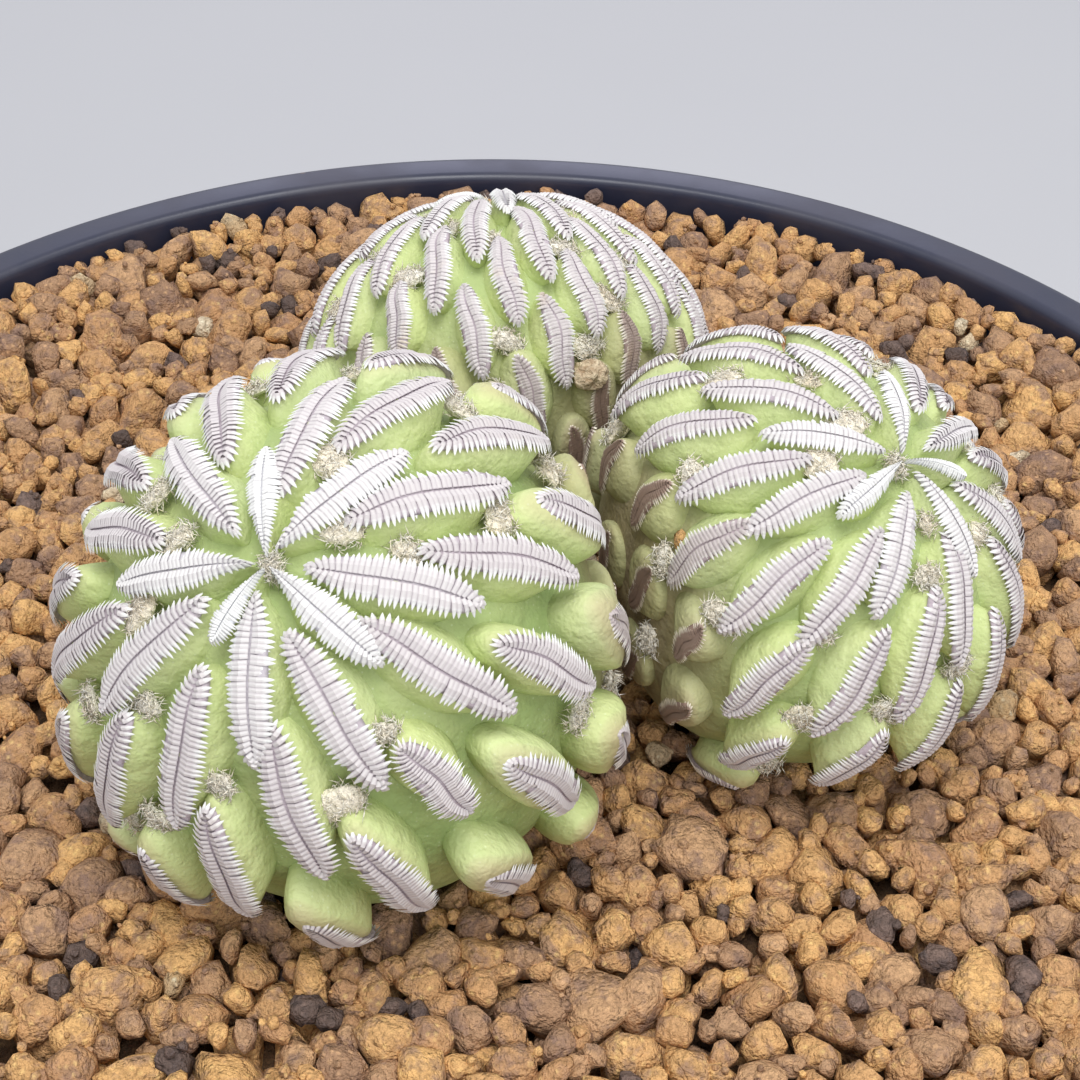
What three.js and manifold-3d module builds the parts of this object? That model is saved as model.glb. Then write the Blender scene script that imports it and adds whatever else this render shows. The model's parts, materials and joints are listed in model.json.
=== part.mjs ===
// A hatchet cactus with three grown-together heads, in a round plastic pot of granular soil.
// Millimetres, +Z up. The origin is the centre of the ring that the pot stands on.
// Every head carries hatchet-shaped tubercles on a golden-angle spiral round its crown,
// and each tubercle bears one long comb of flattened spines along its edge.

import * as THREE from 'three';
import { mergeVertices } from 'three/addons/utils/BufferGeometryUtils.js';
import Module from 'manifold-3d';

const wasm = await Module();
wasm.setup();

// Driving dimensions

const CLEARANCE = 0.3;
const SEAT_GAP = 0.4;
const OVERCUT = 1;
const TURN = 2 * Math.PI;
const SLIVER = 0.07;
const MERGE_DISTANCE = 1e-5;

const POT = {
  height: 90,
  rimRadius: 52.5,
  rimThickness: 3.0,
  lipDepth: 7.0,
  wall: 1.3,
  baseRadius: 39,
  standWidth: 4.5,
  standHeight: 3.0,
  floor: 1.8,
  corner: 1.5,
  edge: 0.7,
  segments: 48,
  centreHoleRadius: 7,
  holeRadius: 4,
  holeCircle: 22,
  holes: 6,
  holeSides: 12,
  notchWidth: 9,
  notchDepth: 1,
  notches: 4,
};

const STONES = {
  depth: 12,
  spacing: 12,
  relief: 3.0,
  unevenness: 1.2,
  seed: 11,
};

const SOIL = {
  peak: 87.6,
  spacing: 6.0,
  relief: 2.0,
  unevenness: 0.9,
  seed: 5,
};

// How irregular the grains' places and dips are, as a share of their step and relief.
const GRAIN_JITTER = 0.5;

const ROOT = {
  x: 4.3,
  y: 4.3,
  top: 77,
  shoulderRadius: 9.5,
  shoulderHeight: 70,
  waistRadius: 5.0,
  waistHeight: 48,
  tipRadius: 1.0,
  tipHeight: 30,
  topRadius: 6.6,
  armRadius: 3.6,
  armStart: 66,
  armReach: 0.8,
  sides: 8,
};

// Angles in degrees. A head's lean is how far its crown tips over, towards its heading (0 = +X, 90 = +Y).
// Tubercle n stands where 1 - cos(polar angle) = rate * (n + start) ^ power, round the place that the
// crown had when the tubercle formed: drift is how far that place lies off after DRIFT_SPAN tubercles,
// in radii. Combs of full age are shorter by shrink and lie further down the head by slip.
const DRIFT_SPAN = 50;
const HEADS = [
  {
    name: 'head_front',
    centre: [-5.65, -8.57, 97.15],
    radius: 14.55,
    widening: 0.04,
    lean: 32.2,
    heading: -108.8,
    winding: -1,
    phase: 69.3,
    divergence: 137.02,
    drift: [-0.28, 0.06],
    rate: 0.0033,
    power: 1.5,
    start: 2.43,
    combLength: 8.0,
    shrink: 0.18,
    slip: 0.8,
  },
  {
    name: 'head_right',
    centre: [16.92, -0.66, 95.71],
    radius: 11.94,
    widening: 0.1,
    lean: 30.1,
    heading: -38.5,
    winding: -1,
    phase: 135.6,
    divergence: 137.8,
    drift: [0.35, 0.24],
    rate: 0.0073,
    power: 1.305,
    start: 1.67,
    combLength: 6.7,
    shrink: 0.33,
    slip: 0,
  },
  {
    name: 'head_back',
    centre: [1.56, 18.06, 93.71],
    radius: 11.96,
    widening: 0.09,
    lean: 41.8,
    heading: 93.5,
    winding: 1,
    phase: 220.3,
    divergence: 137.41,
    drift: [-0.19, 0],
    rate: 0.0095,
    power: 1.121,
    start: 3.3,
    combLength: 7.1,
    shrink: 0.26,
    slip: 0,
  },
];

// A head's plain body: how many facets it has round its crown and from crown to foot.
const BODY = {
  around: 12,
  down: 8,
};

const TUBERCLE = {
  rise: 2.6,
  sink: 0.9,
  baseWidthShare: 0.55,
  baseLengthShare: 0.72,
  baseSides: 4,
  furthestPolar: 104,
  lowest: 1.2,
  squeezed: -0.7,
};

// A comb's growth: newborn is how much shorter and narrower the first comb is, ripening the number of
// tubercles in which that falls to a third. Combs age between tubercle ageFrom and tubercle ageTo.
const GROWTH = {
  newborn: 0.4,
  ripening: 2.5,
  ageFrom: 15,
  ageTo: 50,
};

const COMB = {
  width: 2.05,
  edgeDrop: 0.4,
  teeth: 3,
  notch: 0.66,
  ridgeShare: 0.6,
  crownGap: 0.12,
};

// How deeply heads flatten where they touch, and how far above the soil the lowest combs bend up.
const PRESS_DEPTH = 3;
const LIFT_DEPTH = 2;

// A dried fruit held between tubercles low on the back head.
const FRUIT = {
  head: 'head_back',
  radius: 1.0,
  polar: 93.5,
  azimuth: -68.5,
  depth: 1.9,
};

// Helpers

function seededRandom(seed) {
  let state = seed;
  return () => {
    state = (state * 1664525 + 1013904223) % 4294967296;
    return state / 4294967296;
  };
}

// A manifold solid from a closed geometry: shared corners merged, collapsed triangles dropped.
function solidOf(geometry) {
  geometry.deleteAttribute('normal');
  geometry.deleteAttribute('uv');
  const merged = mergeVertices(geometry, MERGE_DISTANCE);
  const corners = merged.index.array;
  const kept = [];
  for (let i = 0; i < corners.length; i += 3) {
    const [a, b, c] = [corners[i], corners[i + 1], corners[i + 2]];
    if (a !== b && b !== c && c !== a) {
      kept.push(a, b, c);
    }
  }
  return new wasm.Manifold(new wasm.Mesh({
    numProp: 3,
    vertProperties: new Float32Array(merged.attributes.position.array),
    triVerts: new Uint32Array(kept),
  }));
}

function geometryFrom(points, triangles) {
  const geometry = new THREE.BufferGeometry();
  geometry.setAttribute('position', new THREE.Float32BufferAttribute(points.flat(), 3));
  geometry.setIndex(triangles.flat());
  return geometry;
}

function union(solids) {
  return wasm.Manifold.union(solids);
}

// The outer skin alone, without any hollow that joining has sealed inside.
function filled(solid) {
  return solid.decompose().reduce((best, piece) => (piece.volume() > best.volume() ? piece : best));
}

function meshOf(name, solid, material) {
  const result = solid.getMesh();
  const geometry = new THREE.BufferGeometry();
  geometry.setAttribute('position', new THREE.BufferAttribute(new Float32Array(result.vertProperties), 3));
  geometry.setIndex(new THREE.BufferAttribute(new Uint32Array(result.triVerts), 1));
  geometry.computeVertexNormals();
  const mesh = new THREE.Mesh(geometry, material);
  mesh.name = name;
  return mesh;
}

// A turned solid about +Z. Profile points are [radius, height], anticlockwise from the axis.
function turned(profile, segments) {
  const points = profile.map(([r, z]) => new THREE.Vector2(r, z));
  const geometry = new THREE.LatheGeometry(points, segments);
  geometry.rotateX(Math.PI / 2);
  return solidOf(geometry);
}

function upright(radius, bottom, top, sides) {
  const geometry = new THREE.CylinderGeometry(radius, radius, top - bottom, sides);
  geometry.rotateX(Math.PI / 2);
  geometry.translate(0, 0, (top + bottom) / 2);
  return solidOf(geometry);
}

// Pot

const lipBottom = POT.height - POT.lipDepth;
const floorTop = POT.standHeight + POT.floor;
const mouthRadius = POT.rimRadius - POT.rimThickness;

// The outer radius of the tapered wall at height z.
function wallRadius(z) {
  const share = z / lipBottom;
  return POT.baseRadius + share * (mouthRadius + POT.wall - POT.baseRadius);
}

function innerRadius(z) {
  return wallRadius(z) - POT.wall;
}

function potSolid() {
  const { baseRadius, corner, edge } = POT;
  const outer = POT.rimRadius;
  const crest = POT.height;
  const shell = turned([
    [0, POT.standHeight],
    [baseRadius - POT.standWidth, POT.standHeight],
    [baseRadius - POT.standWidth + edge, 0],
    [baseRadius - edge, 0],
    [wallRadius(edge), edge],
    [wallRadius(lipBottom), lipBottom],
    [outer - edge, lipBottom + edge],
    [outer, crest - 2 * edge],
    [outer - edge, crest],
    [mouthRadius + edge, crest],
    [mouthRadius, crest - 2 * edge],
    [innerRadius(lipBottom), lipBottom],
    [innerRadius(floorTop + corner), floorTop + corner],
    [innerRadius(floorTop + corner) - corner, floorTop],
    [0, floorTop],
  ], POT.segments);
  const cuts = [upright(POT.centreHoleRadius, -OVERCUT, floorTop + OVERCUT, POT.holeSides)];
  for (let i = 0; i < POT.holes; i += 1) {
    const angle = (i * TURN) / POT.holes;
    const hole = upright(POT.holeRadius, -OVERCUT, floorTop + OVERCUT, POT.holeSides);
    cuts.push(hole.translate([POT.holeCircle * Math.cos(angle), POT.holeCircle * Math.sin(angle), 0]));
  }
  for (let i = 0; i < POT.notches; i += 1) {
    const notch = new THREE.BoxGeometry(2 * POT.standWidth, POT.notchWidth, 2 * POT.notchDepth);
    notch.translate(baseRadius - POT.standWidth / 2, 0, 0);
    notch.rotateZ(((i + 0.5) * TURN) / POT.notches);
    cuts.push(solidOf(notch));
  }
  return shell.subtract(union(cuts));
}

// Heads

function radians(degrees) {
  return THREE.MathUtils.degToRad(degrees);
}

// A head's own axes when tubercle n formed: its crown's direction, and two directions across it.
function crownAxes(head, n) {
  const crown = new THREE.Vector3(
    Math.sin(radians(head.lean)) * Math.cos(radians(head.heading)) + (head.drift[0] * n) / DRIFT_SPAN,
    Math.sin(radians(head.lean)) * Math.sin(radians(head.heading)) + (head.drift[1] * n) / DRIFT_SPAN,
    Math.cos(radians(head.lean)),
  ).normalize();
  const across = new THREE.Vector3().crossVectors(crown, new THREE.Vector3(0, 0, 1)).normalize();
  const downhill = new THREE.Vector3().crossVectors(crown, across);
  return { crown, across, downhill };
}

// The point at a polar angle and azimuth about the crown, lowered from the comb surface by depth
// and moved sideways. The head is a little wider than it is tall.
function headPoint(head, axes, polar, azimuth, depth, sideways) {
  const bulge = 1 + head.widening * Math.sin(polar) ** 2;
  const reach = head.radius * bulge - depth;
  const outward = axes.across.clone().multiplyScalar(Math.cos(azimuth))
    .addScaledVector(axes.downhill, Math.sin(azimuth));
  const aside = axes.across.clone().multiplyScalar(-Math.sin(azimuth))
    .addScaledVector(axes.downhill, Math.cos(azimuth));
  return new THREE.Vector3(...head.centre)
    .addScaledVector(axes.crown, reach * Math.cos(polar))
    .addScaledVector(outward, reach * Math.sin(polar))
    .addScaledVector(aside, sideways);
}

function reachOf(head) {
  return head.radius * (1 + head.widening);
}

// How far a head reaches towards a neighbour before the two press against each other.
function contactDistance(head, other) {
  const apart = new THREE.Vector3(...other.centre).distanceTo(new THREE.Vector3(...head.centre));
  return (apart + (reachOf(head) ** 2 - reachOf(other) ** 2) / apart) / 2 - CLEARANCE / 2;
}

// A distance that eases up to a limit and never passes it.
function eased(distance, limit, depth) {
  const start = limit - depth;
  return distance > start ? start + depth * (1 - Math.exp((start - distance) / depth)) : distance;
}

// Flattens what would reach past the contact with a neighbouring head.
function press(point, head) {
  const centre = new THREE.Vector3(...head.centre);
  for (const other of HEADS) {
    if (other !== head) {
      const towards = new THREE.Vector3(...other.centre).sub(centre).normalize();
      const along = point.clone().sub(centre).dot(towards);
      const flattened = eased(along, contactDistance(head, other), PRESS_DEPTH);
      point.addScaledVector(towards, flattened - along);
    }
  }
  return point;
}

// Bends what would dip into the soil up clear of it.
function lift(point) {
  point.z = -eased(-point.z, -(SOIL.peak + CLEARANCE), LIFT_DEPTH);
  return point;
}

// A head's plain body under its tubercles, grown by an offset.
function headBody(head, offset) {
  const axes = crownAxes(head, 0);
  const ball = new THREE.SphereGeometry(1, BODY.around, BODY.down);
  const places = ball.attributes.position;
  const depth = TUBERCLE.rise - offset;
  for (let i = 0; i < places.count; i += 1) {
    const polar = Math.acos(THREE.MathUtils.clamp(places.getY(i), -1, 1));
    const azimuth = Math.atan2(-places.getZ(i), places.getX(i));
    const point = press(headPoint(head, axes, polar, azimuth, depth, 0), head);
    places.setXYZ(i, point.x, point.y, point.z);
  }
  return solidOf(ball);
}

// Joins two closed rings of points, whatever their counts, by stepping along both in turn.
function bridge(first, second, firstStart, secondStart) {
  const triangles = [];
  let i = 0;
  let j = 0;
  while (i < first || j < second) {
    const a = firstStart + (i % first);
    const b = secondStart + (j % second);
    const stepFirst = j >= second || (i < first && (i + 1) / first <= (j + 1) / second + 1e-9);
    if (stepFirst) {
      triangles.push([a, firstStart + ((i + 1) % first), b]);
      i += 1;
    } else {
      triangles.push([a, secondStart + ((j + 1) % second), b]);
      j += 1;
    }
  }
  return triangles;
}

// An ellipse of sides points as [along, aside], starting at its outer end.
function ellipse(halfLength, halfWidth, sides) {
  const ring = [];
  for (let i = 0; i < sides; i += 1) {
    const angle = (i * TURN) / sides;
    ring.push([halfLength * Math.cos(angle), halfWidth * Math.sin(angle)]);
  }
  return ring;
}

// The toothed outline of a comb as [along, aside], starting at its outer end.
function combOutline(halfLength, halfWidth) {
  const steps = 2 * COMB.teeth;
  const side = [];
  for (let i = 1; i < steps; i += 1) {
    const along = 1 - (2 * i) / steps;
    const width = halfWidth * Math.sqrt(1 - along ** 2) * (i % 2 === 1 ? 1 : COMB.notch);
    side.push([halfLength * along, width]);
  }
  const back = side.map(([along, aside]) => [along, -aside]).reverse();
  return [[halfLength, 0], ...side, [-halfLength, 0], ...back];
}

function polarAngle(head, n) {
  return Math.acos(Math.max(-1, 1 - head.rate * (n + head.start) ** head.power));
}

function combAzimuth(head, n) {
  return radians(head.phase + head.winding * head.divergence * n);
}

// How grown the comb of tubercle n is, as a share of its full size.
function grown(n) {
  return 1 - GROWTH.newborn * Math.exp(-n / GROWTH.ripening);
}

// How old the comb of tubercle n is, from 0 for a fresh one to 1.
function aged(n) {
  return THREE.MathUtils.smoothstep(n, GROWTH.ageFrom, GROWTH.ageTo);
}

// One hatchet-shaped tubercle with the comb along its edge, as points and triangles.
function tubercle(head, n) {
  const axes = crownAxes(head, n);
  const polar = polarAngle(head, n);
  const azimuth = combAzimuth(head, n);
  const half = (head.combLength / 2) * grown(n) * (1 - head.shrink * aged(n));
  const halfWidth = (COMB.width / 2) * grown(n);
  const ridge = half * COMB.ridgeShare;
  const slip = head.slip * aged(n);
  const rings = [
    [ellipse(half * TUBERCLE.baseLengthShare, half * TUBERCLE.baseWidthShare, TUBERCLE.baseSides),
      TUBERCLE.rise + TUBERCLE.sink],
    [combOutline(half, halfWidth), COMB.edgeDrop],
    [[[ridge, 0], [-ridge, 0]], 0],
  ];
  const points = [];
  const triangles = [];
  const starts = [];
  for (const [ring, depth] of rings) {
    starts.push(points.length);
    for (const [along, aside] of ring) {
      const reached = Math.max(polar + (slip + along) / head.radius, polar * COMB.crownGap);
      const point = headPoint(head, axes, reached, azimuth, depth, aside);
      points.push(lift(press(point, head)));
    }
  }
  for (let i = 0; i + 1 < rings.length; i += 1) {
    triangles.push(...bridge(rings[i][0].length, rings[i + 1][0].length, starts[i], starts[i + 1]));
  }
  for (let i = 1; i + 1 < TUBERCLE.baseSides; i += 1) {
    triangles.push([0, i + 1, i]);
  }
  return { points, triangles };
}

// A tubercle is left out where it would lie in the soil or flat between two heads.
function standsFree(head, n) {
  const middle = headPoint(head, crownAxes(head, n), polarAngle(head, n), combAzimuth(head, n), 0, 0);
  const centre = new THREE.Vector3(...head.centre);
  const clearOfNeighbours = HEADS.every((other) => {
    const towards = new THREE.Vector3(...other.centre).sub(centre).normalize();
    const reached = middle.clone().sub(centre).dot(towards);
    return other === head || reached < contactDistance(head, other) + TUBERCLE.squeezed;
  });
  return clearOfNeighbours && middle.z >= SOIL.peak + TUBERCLE.lowest;
}

function driedFruit(head) {
  const axes = crownAxes(head, 0);
  const place = headPoint(head, axes, radians(FRUIT.polar), radians(FRUIT.azimuth), FRUIT.depth, 0);
  const ball = new THREE.IcosahedronGeometry(FRUIT.radius, 0);
  ball.translate(place.x, place.y, place.z);
  return solidOf(ball);
}

function headSolid(head) {
  const solids = [headBody(head, 0)];
  for (let n = 0; polarAngle(head, n) < radians(TUBERCLE.furthestPolar); n += 1) {
    if (standsFree(head, n)) {
      const { points, triangles } = tubercle(head, n);
      solids.push(solidOf(geometryFrom(points.map((point) => point.toArray()), triangles)));
    }
  }
  if (head.name === FRUIT.head) {
    solids.push(driedFruit(head));
  }
  return filled(union(solids).simplify(SLIVER));
}

// Taproot

// The thick root under the heads: a turned carrot and one arm up to each head.
function rootSolid(offset) {
  const carrot = turned([
    [0, ROOT.tipHeight - offset],
    [ROOT.tipRadius + offset, ROOT.tipHeight - offset],
    [ROOT.waistRadius + offset, ROOT.waistHeight],
    [ROOT.shoulderRadius + offset, ROOT.shoulderHeight],
    [ROOT.topRadius + offset, ROOT.top + offset],
    [0, ROOT.top + offset],
  ], ROOT.sides).translate([ROOT.x, ROOT.y, 0]);
  const arms = HEADS.map((head) => {
    const from = new THREE.Vector3(ROOT.x, ROOT.y, ROOT.armStart);
    const below = (head.radius - TUBERCLE.rise) * ROOT.armReach;
    const to = new THREE.Vector3(...head.centre).sub(new THREE.Vector3(0, 0, below));
    const length = from.distanceTo(to);
    const radius = ROOT.armRadius + offset;
    const arm = new THREE.CylinderGeometry(radius, radius, length, ROOT.sides);
    arm.translate(0, length / 2, 0);
    const turn = new THREE.Quaternion().setFromUnitVectors(
      new THREE.Vector3(0, 1, 0),
      to.clone().sub(from).normalize(),
    );
    arm.applyQuaternion(turn);
    arm.translate(from.x, from.y, from.z);
    return solidOf(arm);
  });
  return union([carrot, ...arms]);
}

// Soil and stones

// A slab whose top is a field of angular grains: a triangular lattice on which every third point
// is a grain's peak and the points between are the dips. Peaks vary in height and place.
function grainSlab(radius, bottom, peak, grains) {
  const random = seededRandom(grains.seed);
  const step = grains.spacing / Math.sqrt(3);
  const rowStep = (step * Math.sqrt(3)) / 2;
  const rows = 2 * Math.ceil(radius / rowStep) + 2;
  const columns = 2 * Math.ceil(radius / step) + 4;
  const points = [];
  for (let j = 0; j <= rows; j += 1) {
    for (let i = 0; i <= columns; i += 1) {
      const isPeak = (((i - Math.floor(j / 2) - j) % 3) + 3) % 3 === 0;
      const dip = 1 + (random() - 0.5) * GRAIN_JITTER;
      const drop = isPeak ? random() * grains.unevenness : grains.relief * dip;
      const x = (i - columns / 2 + (j % 2) / 2 + (random() - 0.5) * GRAIN_JITTER) * step;
      const y = (j - rows / 2 + (random() - 0.5) * GRAIN_JITTER) * rowStep;
      points.push([x, y, peak - drop]);
    }
  }
  const across = columns + 1;
  const count = points.length;
  const top = [];
  for (let j = 0; j < rows; j += 1) {
    for (let i = 0; i < columns; i += 1) {
      const corner = j * across + i;
      if (j % 2 === 0) {
        top.push([corner, corner + 1, corner + across]);
        top.push([corner + 1, corner + across + 1, corner + across]);
      } else {
        top.push([corner, corner + 1, corner + across + 1]);
        top.push([corner, corner + across + 1, corner + across]);
      }
    }
  }
  const rim = [];
  for (let i = 0; i < columns; i += 1) {
    rim.push(i);
  }
  for (let j = 0; j < rows; j += 1) {
    rim.push(j * across + columns);
  }
  for (let i = columns; i > 0; i -= 1) {
    rim.push(rows * across + i);
  }
  for (let j = rows; j > 0; j -= 1) {
    rim.push(j * across);
  }
  const walls = [];
  rim.forEach((corner, i) => {
    const next = rim[(i + 1) % rim.length];
    walls.push([corner, corner + count, next + count]);
    walls.push([corner, next + count, next]);
  });
  const under = points.map(([x, y]) => [x, y, bottom]);
  const base = top.map(([a, b, c]) => [a + count, c + count, b + count]);
  return solidOf(geometryFrom([...points, ...under], [...top, ...base, ...walls]));
}


const stonesBottom = floorTop + CLEARANCE;
const stonesPeak = stonesBottom + STONES.depth;

// The stones fill the pot's foot, with its rounded corner.
function stonesSolid() {
  const slab = grainSlab(POT.baseRadius, stonesBottom - OVERCUT, stonesPeak, STONES);
  const above = stonesBottom + POT.corner;
  const plug = turned([
    [0, stonesBottom],
    [innerRadius(above) - POT.corner - 2 * SEAT_GAP, stonesBottom],
    [innerRadius(above) - SEAT_GAP, above],
    [innerRadius(stonesPeak) - SEAT_GAP, stonesPeak + OVERCUT],
    [0, stonesPeak + OVERCUT],
  ], POT.segments);
  return slab.intersect(plug);
}

// The soil fills the tapered pot from the stones to just under its brim, and holds the plant.
function soilSolid() {
  const bottom = stonesPeak + CLEARANCE;
  const slab = grainSlab(POT.rimRadius, bottom - OVERCUT, SOIL.peak, SOIL);
  const plug = turned([
    [0, bottom],
    [innerRadius(bottom) - SEAT_GAP, bottom],
    [innerRadius(lipBottom) - SEAT_GAP, lipBottom],
    [mouthRadius - SEAT_GAP, SOIL.peak + OVERCUT],
    [0, SOIL.peak + OVERCUT],
  ], POT.segments);
  const hollows = HEADS.map((head) => headBody(head, SEAT_GAP));
  return slab.intersect(plug).subtract(union([...hollows, rootSolid(CLEARANCE)]));
}

function taprootSolid() {
  const hollows = HEADS.map((head) => headBody(head, CLEARANCE));
  return rootSolid(0).subtract(union(hollows));
}

// Materials

const plastic = new THREE.MeshStandardMaterial({ color: 0x1b1d26, roughness: 0.42, metalness: 0 });
const pumice = new THREE.MeshStandardMaterial({ color: 0xa79c8a, roughness: 0.95, metalness: 0 });
const granules = new THREE.MeshStandardMaterial({ color: 0x9a6a3c, roughness: 0.95, metalness: 0 });
const bark = new THREE.MeshStandardMaterial({ color: 0x8a7458, roughness: 0.9, metalness: 0 });
const skin = new THREE.MeshStandardMaterial({ color: 0x9fb56a, roughness: 0.55, metalness: 0 });

// Assembly

const cactus = new THREE.Group();
cactus.add(meshOf('pot', potSolid(), plastic));
cactus.add(meshOf('drainage_stones', stonesSolid(), pumice));
cactus.add(meshOf('soil', soilSolid(), granules));
cactus.add(meshOf('taproot', taprootSolid(), bark));
for (const head of HEADS) {
  cactus.add(meshOf(head.name, headSolid(head), skin));
}

export default cactus;
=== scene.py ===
# Potted hatchet cactus: three grown-together heads in a round plastic pot of fired-clay granules.
# Every surface is worked out in millimetres as whole arrays and put into its mesh in metres.

import json
import math

import bmesh
import bpy
import numpy as np
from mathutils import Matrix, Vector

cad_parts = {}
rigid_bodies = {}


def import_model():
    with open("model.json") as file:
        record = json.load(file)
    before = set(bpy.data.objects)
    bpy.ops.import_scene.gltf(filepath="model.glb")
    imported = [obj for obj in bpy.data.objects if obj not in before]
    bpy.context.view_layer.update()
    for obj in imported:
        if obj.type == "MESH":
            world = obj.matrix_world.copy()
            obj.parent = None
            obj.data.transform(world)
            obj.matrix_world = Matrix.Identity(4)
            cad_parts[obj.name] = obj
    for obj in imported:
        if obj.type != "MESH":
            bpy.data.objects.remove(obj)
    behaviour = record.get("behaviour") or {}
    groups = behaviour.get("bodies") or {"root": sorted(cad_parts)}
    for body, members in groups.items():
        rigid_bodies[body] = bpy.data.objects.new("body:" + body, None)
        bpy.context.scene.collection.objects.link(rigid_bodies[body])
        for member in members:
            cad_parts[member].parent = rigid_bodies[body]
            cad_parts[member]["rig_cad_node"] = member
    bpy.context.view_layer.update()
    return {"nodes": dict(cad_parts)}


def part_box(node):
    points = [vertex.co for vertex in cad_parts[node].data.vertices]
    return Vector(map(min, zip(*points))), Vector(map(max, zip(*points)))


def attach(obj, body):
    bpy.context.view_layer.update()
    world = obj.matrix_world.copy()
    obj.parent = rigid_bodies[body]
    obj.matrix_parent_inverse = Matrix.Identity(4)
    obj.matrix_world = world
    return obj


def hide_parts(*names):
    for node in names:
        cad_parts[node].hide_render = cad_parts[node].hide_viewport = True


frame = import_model()

bl_info = {
    "name": "Potted hatchet cactus",
    "version": (1, 0, 0),
    "blender": (4, 5, 0),
    "location": "3D View > Sidebar > Cactus",
    "description": "Builds a potted hatchet cactus with its combs, wool, granules and pot",
    "category": "Add Mesh",
}

MM = 0.001
TURN = 2 * math.pi
BODY = "root"

# The camera as fitted to the photograph, and where the lights are turned to, in metres.
CAMERA_PLACE = (0.00368, -0.07666, 0.1633)
CAMERA_TILT = math.radians(49)
CAMERA_LENS = 63.33
LIGHT_TARGET = (0, 0, 0.09)

# How finely round pieces are divided.
AROUND_POT = 240
AROUND_HOLE = 48
AROUND_SOIL = 150
STEM_RINGS, AROUND_STEM = 60, 90
CLIMB_STEPS, AROUND_TUBERCLE = 11, 26
PLATE_RINGS = 14

# The growth rule of each head, in millimetres and degrees. Tubercle n stands where
# 1 - cos(polar) = rate * (n + start) ** power, turned on by the divergence each time, about the
# place that the crown had when it formed: it has moved by drift in DRIFT_SPAN tubercles. Old combs
# are shorter by shrink and lie lower by slip. The combs named under stunted have only that share
# of the length. Between the two numbers of parting the tubercles turn from broad ones that touch
# into slender ones with clefts between them, and between those of wearing from ridges into knobs.
# The groove is the stem's depth between young tubercles.
DRIFT_SPAN = 50
HEADS = {
    "head_front": {
        "centre": (-5.65, -8.57, 97.15),
        "radius": 14.55,
        "widening": 0.04,
        "lean": 32.2,
        "heading": -108.8,
        "winding": -1,
        "phase": 69.3,
        "divergence": 137.02,
        "drift": (-0.28, 0.06),
        "rate": 0.0033,
        "power": 1.5,
        "start": 2.43,
        "comb_length": 8.0,
        "comb_width": 2.25,
        "parting": (9, 27),
        "wearing": (15, 45),
        "groove": 1.9,
        "stunted": {0: 0.8, 11: 0.8, 23: 0.62, 28: 0.85},
        "shrink": 0.18,
        "slip": 0.8,
    },
    "head_right": {
        "centre": (16.92, -0.66, 95.71),
        "radius": 11.94,
        "widening": 0.1,
        "lean": 30.1,
        "heading": -38.5,
        "winding": -1,
        "phase": 135.6,
        "divergence": 137.8,
        "drift": (0.35, 0.24),
        "rate": 0.0073,
        "power": 1.305,
        "start": 1.67,
        "comb_length": 6.7,
        "comb_width": 1.82,
        "parting": (18, 60),
        "wearing": (24, 75),
        "groove": 1.8,
        "stunted": {43: 0.75},
        "shrink": 0.33,
        "slip": 0.0,
    },
    "head_back": {
        "centre": (1.56, 18.06, 93.71),
        "radius": 11.96,
        "widening": 0.09,
        "lean": 41.8,
        "heading": 93.5,
        "winding": 1,
        "phase": 220.3,
        "divergence": 137.41,
        "drift": (-0.19, 0.0),
        "rate": 0.0095,
        "power": 1.121,
        "start": 3.3,
        "comb_length": 7.1,
        "comb_width": 1.68,
        "parting": (35, 100),
        "wearing": (45, 110),
        "groove": 1.7,
        "stunted": {13: 0.65, 39: 0.7, 42: 0.8},
        "shrink": 0.26,
        "slip": 0.0,
    },
}

# How combs grow and age, by their numbers from the crown.
GROWTH = {"newborn": 0.4, "ripening": 2.5, "age_from": 15, "age_to": 50}
MOST_TUBERCLES = 110

# How near combs come to the crown: the share of the way that stays free, the least angle, and the
# distance from the crown's axis within which combs are narrower. How far down a head tubercles go.
CROWN_GAP = 0.12
NEAREST_POLAR = 0.02
CROWN_WIDTH = 3.4
FURTHEST_POLAR = math.radians(138)

# Millimetres: the gap between heads and over the soil, the last stretch in which points bend away
# from a neighbour or up off the soil, how high above the soil, how far from the dried fruit and how
# far inside a neighbour a tubercle still shows, from where on neighbours are crowded, and how far
# the tubercles' edges lie under the surface that the growth rule gives.
CLEARANCE = 0.3
PRESS_DEPTH = 3.0
LIFT_DEPTH = 2.0
LOWEST_MIDDLE = 0.8
FRUIT_ROOM = 2.0
SQUEEZED = 3.5
CROWDED = 3.0
SKIN_DEPTH = 0.25

# The kinds of granules: up to which share of a random draw each reaches, its material's name, and
# its bright, dim and stain colours. Granules larger than LARGE_GRANULE are only clay or brown. The
# lower layer lies LAYER_DROP deeper. Stones are larger than the room they are given by STONE_SWELL.
KINDS = {
    "clay": (0.62, "fired_clay", (0.84, 0.50, 0.20), (0.50, 0.28, 0.15), (0.30, 0.19, 0.15)),
    "brown": (0.86, "moist_clay", (0.66, 0.40, 0.21), (0.33, 0.20, 0.13), (0.24, 0.155, 0.13)),
    "dark": (0.975, "weathered_clay", (0.25, 0.17, 0.14), (0.11, 0.08, 0.07), (0.09, 0.07, 0.07)),
    "pale": (1.0, "pale_stone", (0.80, 0.68, 0.50), (0.50, 0.31, 0.14), (0.5, 0.38, 0.24)),
}
LARGE_GRANULE = 1.05
LAYER_DROP = 1.5
STONE_SWELL, CRUMB_SEAT = 1.32, 1.12
STONE_POINTS, CRUMB_POINTS = 42, 12  # of an icosphere with 2 and with 1 subdivision

# Wool: hairs to a pad and half their thickness.
HAIRS = 180
HAIR_RADIUS = 0.034


# Settings


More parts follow.
